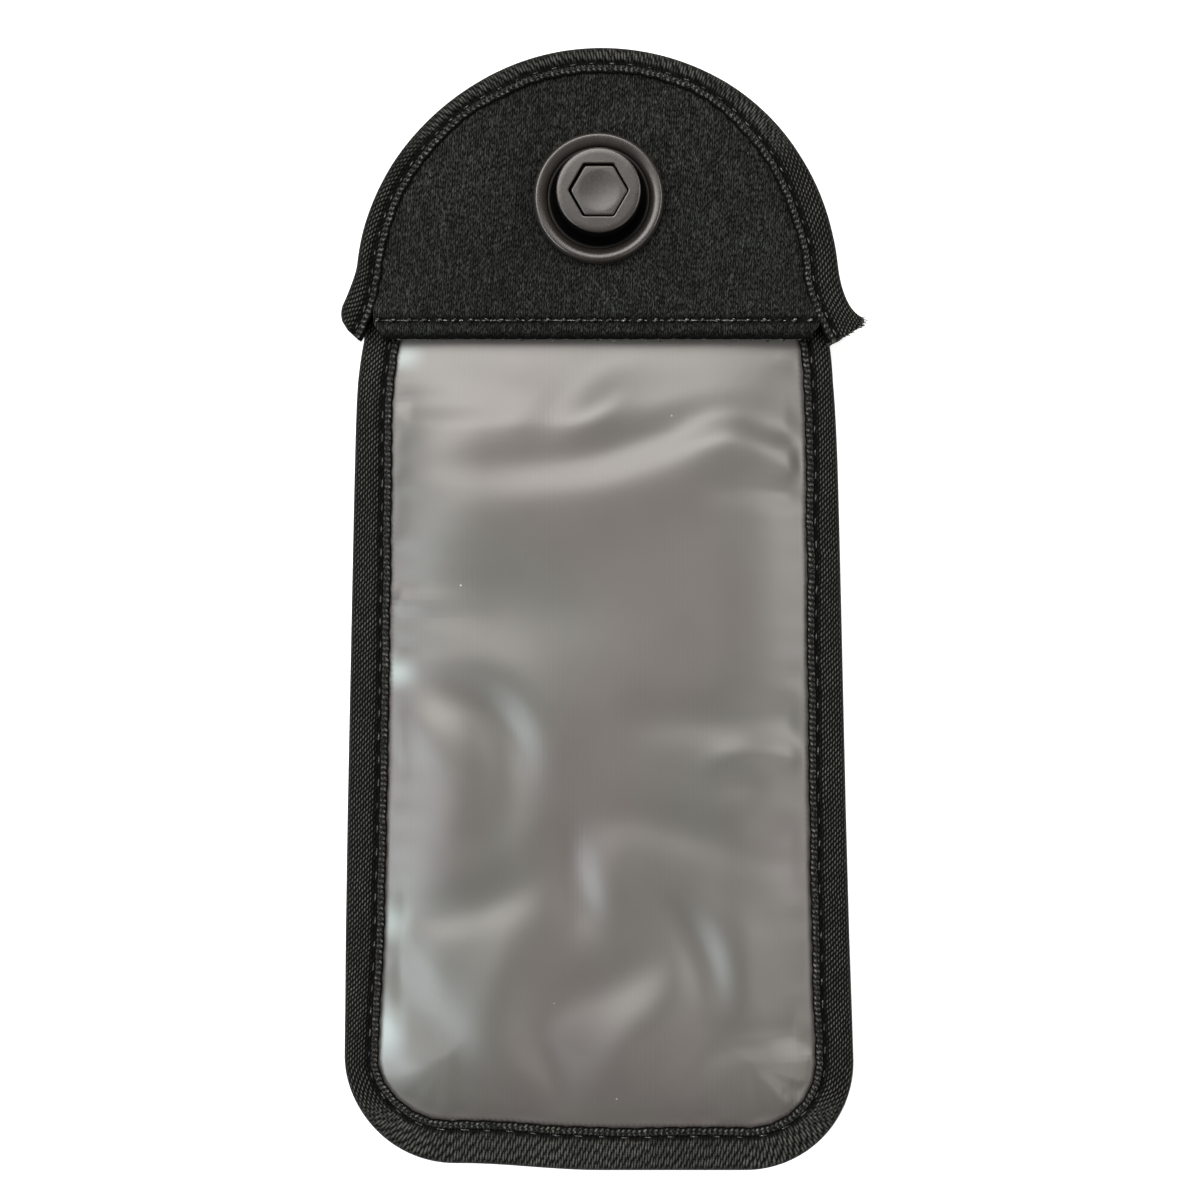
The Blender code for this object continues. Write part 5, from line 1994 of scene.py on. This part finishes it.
@dataclass
class Lock:
    """Magnetic lock on the flap: a flange with a rim, a cap with a window, and a core."""

    plan: Plan
    shell: bpy.types.Material
    button_plastic: bpy.types.Material
    flange_radius: float = 0.013
    flange_plate: float = 0.0011
    rim_rise: float = 0.001
    rim_wall_radius: float = 0.010
    rim_outer_run: float = 0.0008
    neck_radius: float = 0.0045
    rivet_reach: float = 0.0017
    rivet_thickness: float = 0.00055
    washer: float = 0.0008
    flap_sink: float = 0.00035
    cap_radius: float = 0.0082
    cap_height: float = 0.0076
    cap_wall: float = 0.0012
    cap_plate: float = 0.0013
    cap_round: float = 0.00038
    hex_window: float = 0.0103
    post_recess: float = 0.0003
    post_roof: float = 0.0014
    core_wall: float = 0.0017
    dish_radius: float = 0.0041
    dish_depth: float = 0.00013
    post_play: tuple[float, float] = (0.00013, -0.00007)
    bore: float = 0.0013
    button_radius: float = 0.011
    button_thickness: float = 0.0014

    @property
    def flange_bottom(self) -> float:
        """Underside of the flange."""
        return self.plan.front_top - self.flap_sink + self.plan.gap

    @property
    def cap_bottom(self) -> float:
        """Foot of the cap."""
        return self.flange_bottom + self.flange_plate + self.plan.gap

    @property
    def cap_top(self) -> float:
        """Top face of the cap."""
        return self.cap_bottom + self.cap_height

    def build(self) -> list[bpy.types.Object]:
        """Build the lock.

        Returns:
            The flange, the cap, the core and the back button.
        """
        form = TurnedForm(self.plan.lock_y)
        return [self.flange(form), self.cap(form), self.core(form), self.button(form)]

    def flange(self, form: TurnedForm) -> bpy.types.Object:
        """Flange with a domed rim and a riveted neck.

        Args:
            form: Loops about the lock's axis.

        Returns:
            The piece.
        """
        bottom = self.flange_bottom
        floor = bottom + self.flange_plate
        rim_top = floor + self.rim_rise
        rivet_top = self.plan.front_bottom + self.flap_sink - self.plan.gap - self.washer - self.plan.gap
        rivet = self.neck_radius + self.rivet_reach
        circle = form.circle
        crest = self.flange_radius - self.rim_outer_run
        base = bottom + 0.0006
        loops = [
            circle(self.rim_wall_radius, floor),
            *form.arc((crest, floor), (crest - self.rim_wall_radius, rim_top - floor), 180, 90, 15)[1:],
            *form.arc((crest, base), (self.rim_outer_run, rim_top - base), 90, 0, 13)[1:],
            *form.arc((self.flange_radius - 0.00025, bottom + 0.00025), 0.00025, 0, -90, 4),
            circle(self.neck_radius, bottom),
            circle(self.neck_radius, rivet_top),
            circle(rivet, rivet_top),
            circle(rivet, rivet_top - self.rivet_thickness + 0.0002),
            circle(rivet - 0.0002, rivet_top - self.rivet_thickness),
            circle(self.bore, rivet_top - self.rivet_thickness),
            circle(self.bore, floor),
        ]
        piece = form.solid(loops, ring=True).piece("lock_flange_shell", self.shell, Slot.SHELL, 30.0)
        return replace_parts(piece, "lock_flange")

    def cap(self, form: TurnedForm) -> bpy.types.Object:
        """Cap with a rounded edge and a chamfered hexagonal window.

        Args:
            form: Loops about the lock's axis.

        Returns:
            The piece.
        """
        top, bottom, corner = self.cap_top, self.cap_bottom, self.cap_round
        inner = self.cap_radius - self.cap_wall
        ceiling = top - self.cap_plate
        loops = [
            form.circle(inner, ceiling),
            form.circle(inner, bottom),
            form.circle(self.cap_radius + 0.00004, bottom),
            form.circle(self.cap_radius + 0.00010, bottom + 0.0003),
            form.circle(self.cap_radius, top - corner),
            *form.arc((self.cap_radius - corner, top - corner), corner, 0, 90, 7)[1:],
            form.circle(self.cap_radius - 0.0012, top),
            form.hexagon(self.hex_window + 0.0005, top),
            form.hexagon(self.hex_window + 0.0003, top),
            form.hexagon(self.hex_window + 0.0001, top - 0.00005),
            form.hexagon(self.hex_window, top - 0.00022),
            form.hexagon(self.hex_window, ceiling),
        ]
        piece = form.solid(loops, ring=True).piece("lock_cap_shell", self.shell, Slot.SHELL, 28.0)
        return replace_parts(piece, "lock_cap")

    def core(self, form: TurnedForm) -> bpy.types.Object:
        """Core whose hexagonal post fills the window, with a shallow round dish.

        Args:
            form: Loops about the lock's axis.

        Returns:
            The piece.
        """
        post_top = self.cap_top - self.post_recess
        shoulder = self.cap_top - self.cap_plate - self.plan.gap
        outer = self.cap_radius - self.cap_wall - self.plan.gap
        cavity = outer - self.core_wall
        flats = self.hex_window - 2 * self.plan.gap
        edge = [
            form.hexagon(flats - 0.0007 * s, post_top - 0.0004 * (1 - math.sqrt(s * (2 - s))))
            for s in np.linspace(0.0, 1.0, 7)[1:]
        ]
        dish = [
            form.circle(self.dish_radius * s, post_top - self.dish_depth * (1 - s**2) ** 1.2)
            for s in np.linspace(1.0, 0.02, 12)
        ]
        loops = [
            form.circle(0.00005, post_top - self.post_roof),
            form.circle(cavity, post_top - self.post_roof),
            form.circle(cavity, self.cap_bottom),
            form.circle(outer, self.cap_bottom),
            form.circle(outer, shoulder),
            form.hexagon(flats, shoulder),
            form.hexagon(flats, post_top - 0.0004),
            *edge,
            form.hexagon(flats - 0.0009, post_top),
            form.circle(self.dish_radius + 0.00006, post_top),
            *dish,
        ]
        for loop in loops[6:]:
            loop[:, :2] += self.post_play
        piece = form.solid(loops, ring=False).piece("lock_core_post", self.shell, Slot.SHELL, 24.0)
        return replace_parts(piece, "hex_core")

    def button(self, form: TurnedForm) -> bpy.types.Object:
        """Plastic button over the pin's head on the back.

        Args:
            form: Loops about the lock's axis.

        Returns:
            The piece.
        """
        pocket_floor = self.button_thickness - 0.0004 - self.plan.gap
        loops = [
            form.circle(0.00005, pocket_floor),
            form.circle(0.0043, pocket_floor),
            form.circle(0.0043, self.button_thickness),
            form.circle(self.button_radius - 0.0001, self.button_thickness),
            form.circle(self.button_radius, self.button_thickness - 0.0002),
            *form.arc((self.button_radius - 0.0004, 0.0004), 0.0004, 0, -90, 6),
            form.circle(self.button_radius - 0.0016, 0.0),
            form.circle(self.button_radius - 0.0018, 0.00012),
            form.circle(self.button_radius - 0.0022, 0.00012),
            form.circle(self.button_radius - 0.0024, 0.0),
            form.circle(0.00005, 0.0),
        ]
        cover = form.solid(loops, ring=False)
        piece = cover.piece("pin_button_cover", self.button_plastic, Slot.BUTTON, 30.0)
        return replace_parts(piece, "pin_button")


@dataclass(frozen=True)
class LightPanel:
    """One flat lamp that faces the pouch."""

    name: str
    place: tuple[float, float, float]
    size: tuple[float, float]
    power: float
    colour: Colour

    def hang(self) -> None:
        """Add the lamp to the scene."""
        lamp = bpy.data.lights.new(self.name, "AREA")
        lamp.shape = "RECTANGLE"
        lamp.size, lamp.size_y = self.size
        lamp.energy = self.power
        lamp.color = self.colour
        item = added(self.name, lamp)
        item.location = self.place
        item.rotation_mode = "QUATERNION"
        item.rotation_quaternion = (-Vector(self.place)).to_track_quat("-Z", "Y")


@dataclass
class Studio:
    """Floor, lights and camera."""

    aim_x: float = 0.0003
    aim_y: float = 0.0024
    camera_height: float = 0.410
    lens_mm: float = 60.9
    sensor_mm: float = 36.0
    floor_size: float = 3.0
    room: tuple[float, float, float, float] = (1.0, 0.99, 0.98, 1.0)
    room_strength: float = 0.17
    panels: tuple[LightPanel, ...] = (
        LightPanel("ceiling_panel", (-0.30, 0.56, 1.10), (1.25, 0.55), 14.8, (1.0, 0.97, 0.93)),
        LightPanel("second_panel", (0.62, -0.55, 0.85), (0.5, 0.5), 1.6, (1.0, 0.96, 0.92)),
        LightPanel("window_panel", (-0.74, -0.34, 0.66), (0.6, 0.4), 5.0, (0.89, 0.97, 1.0)),
        LightPanel("right_panel", (0.72, 0.20, 0.62), (0.6, 0.4), 3.4, (1.0, 0.98, 0.96)),
    )

    def build(self) -> None:
        """Set up the floor, the lights, the world and the camera."""
        self.floor()
        self.lights()
        self.camera()

    def floor(self) -> None:
        """Lay a pale board under the pouch."""
        shape = bmesh.new()
        bmesh.ops.create_grid(shape, x_segments=4, y_segments=4, size=self.floor_size / 2)
        mesh = bpy.data.meshes.new("floor_board")
        shape.to_mesh(mesh)
        shape.free()
        mesh.materials.append(TableFinish().material())
        added("floor_board", mesh)

    def lights(self) -> None:
        """Hang the panels and light the room."""
        for panel in self.panels:
            panel.hang()
        world = bpy.data.worlds.new("room")
        world.use_nodes = True
        background = world.node_tree.nodes["Background"]
        background.inputs["Color"].default_value = self.room
        background.inputs["Strength"].default_value = self.room_strength
        bpy.context.scene.world = world
        bpy.context.scene.view_settings.view_transform = "Standard"

    def camera(self) -> None:
        """Look straight down on the pouch."""
        lens = bpy.data.cameras.new("photo_camera")
        lens.lens = self.lens_mm
        lens.sensor_width = self.sensor_mm
        lens.clip_start = 0.01
        item = added("photo_camera", lens)
        item.location = (self.aim_x, self.aim_y, self.camera_height)
        bpy.context.scene.camera = item


@dataclass
class ClutchSpring:
    """Compression spring between the ball cage and the lock's roof, which shortens as the cage lifts."""

    axis_y: float
    steel: bpy.types.Material
    wire: float = 0.0003
    turns: float = 3.5
    steps: int = 40
    sides: int = 12

    def build(self) -> None:
        """Wind the spring in the place of its CAD node."""
        low, high = (Vector(corner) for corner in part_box("clutch_spring"))
        share = np.linspace(0.0, 1.0, round(self.turns * self.steps) + 1)
        turn = share * self.turns * 2 * math.pi
        radius = (high.x - low.x - self.wire) / 2
        rise = low.z + self.wire / 2 + (high.z - low.z - self.wire) * share
        route = np.stack([radius * np.cos(turn), self.axis_y + radius * np.sin(turn), rise], axis=1)
        draft = Draft()
        draft.tube(route, np.full(len(route), self.wire / 2), self.sides)
        spring = draft.piece("wound_spring", self.steel, Slot.STEEL, body=None)
        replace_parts(spring, "clutch_spring")
        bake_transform(spring)


@dataclass
class Pouch:
    """The whole pouch, dressed sub-assembly by sub-assembly."""

    plan: Plan = field(default_factory=Plan)
    lean: Lean = field(default_factory=Lean)
    hidden_steel: tuple[str, ...] = (
        "front_washer", "back_washer", "clutch_cone", "ball_cage", "ball_1", "ball_2", "ball_3", "pin",
    )

    def build(self) -> None:
        """Build and dress every piece."""
        plan = self.plan
        knit = KnitFinish().material()
        cord = ThreadFinish(
            "selvage_yarn", strand=(0.19, 0.19, 0.17), lay_mm=0.5, plies=0.0, crisp=0.2, specular=0.12
        ).material()
        thread = ThreadFinish("sewing_thread", strand=(0.36, 0.36, 0.34)).material()
        topstitch = ThreadFinish("hem_topstitch_thread", strand=(0.62, 0.62, 0.58), crisp=0.1).material()
        WindowFilm(plan, self.lean, FilmFinish().material()).build()
        BackPanel(plan, self.lean, knit).build()
        FrontFlap(plan, self.lean, knit, topstitch).build()
        self.bindings(cord, thread)
        dark_brown, brown = (0.024, 0.0195, 0.0165), (0.034, 0.028, 0.024)
        # The lock's recess gets painted shade.
        groove_shade = GrooveShade(plan.lock_y)
        shell = MouldedFinish("lock_shell_plastic", dark_brown, brown, 0.19, groove_shade=groove_shade).material()
        black = MouldedFinish("button_plastic", (0.006, 0.006, 0.006), (0.014, 0.014, 0.014), 0.36).material()
        Lock(plan, shell, black).build()
        self.steel()

    def bindings(self, cord: bpy.types.Material, thread: bpy.types.Material) -> None:
        """Bind the body, the back's arc and the front flap's arc.

        Args:
            cord: Finish of the selvage cords.
            thread: Finish of the sewing thread.
        """
        plan = self.plan
        body_cloth = WeaveFinish(Twill.TOWARDS_LIP, "body_tape_weave").material()
        flap_cloth = WeaveFinish(Twill.TOWARDS_FOLD, "flap_tape_weave").material()
        body_rails = plan.body_rails(plan.join_y - plan.gap / 2)
        Binding(
            "body", body_rails, 0.0, plan.body_tape_top, body_cloth, cord, thread, self.lean,
            flat=(0.0170, 0.392), seed=21, cord_ends=(0.0030, 0.0030),
        ).build("body_binding", "body_needle_thread", "body_bobbin_thread")
        back_rails = plan.back_arc_rails(plan.join_y + plan.gap / 2)
        Binding(
            "back_flap", back_rails, 0.0, plan.back_tape_top, flap_cloth, cord, thread, self.lean,
            flat=(0.0128, 0.155), seed=31, cord_reach=0.00028,
        ).build("back_flap_binding", "back_flap_needle_thread", "back_flap_bobbin_thread")
        front_rails = plan.front_arc_rails()
        Binding(
            "front_flap", front_rails, plan.front_tape_bottom, plan.front_tape_top, flap_cloth, cord,
            thread, self.lean, flat=(0.0142, 0.166), seed=51, stitch_pitch=0.0038,
            corner_round=plan.tail_corner_round, cord_reach=0.00028,
        ).build("front_flap_binding", "front_flap_needle_thread", "front_flap_bobbin_thread")
        FrayedTail(plan, self.lean, cord).build(front_rails)

    def steel(self) -> None:
        """Give the hidden steel parts of the CAD model their finish, and wind the spring."""
        material = SteelFinish(self.plan.lock_y).material()
        ClutchSpring(self.plan.lock_y, material).build()
        for name in self.hidden_steel:
            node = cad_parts[name]
            for slot in node.material_slots:
                slot.material = material
            log.info("%s: CAD mesh kept", name)


def main() -> None:
    logging.basicConfig(level=logging.INFO, format="%(name)s %(message)s", stream=sys.stdout)
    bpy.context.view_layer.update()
    pouch = Pouch()
    pouch.build()
    Studio().build()


if __name__ == "__main__":
    main()
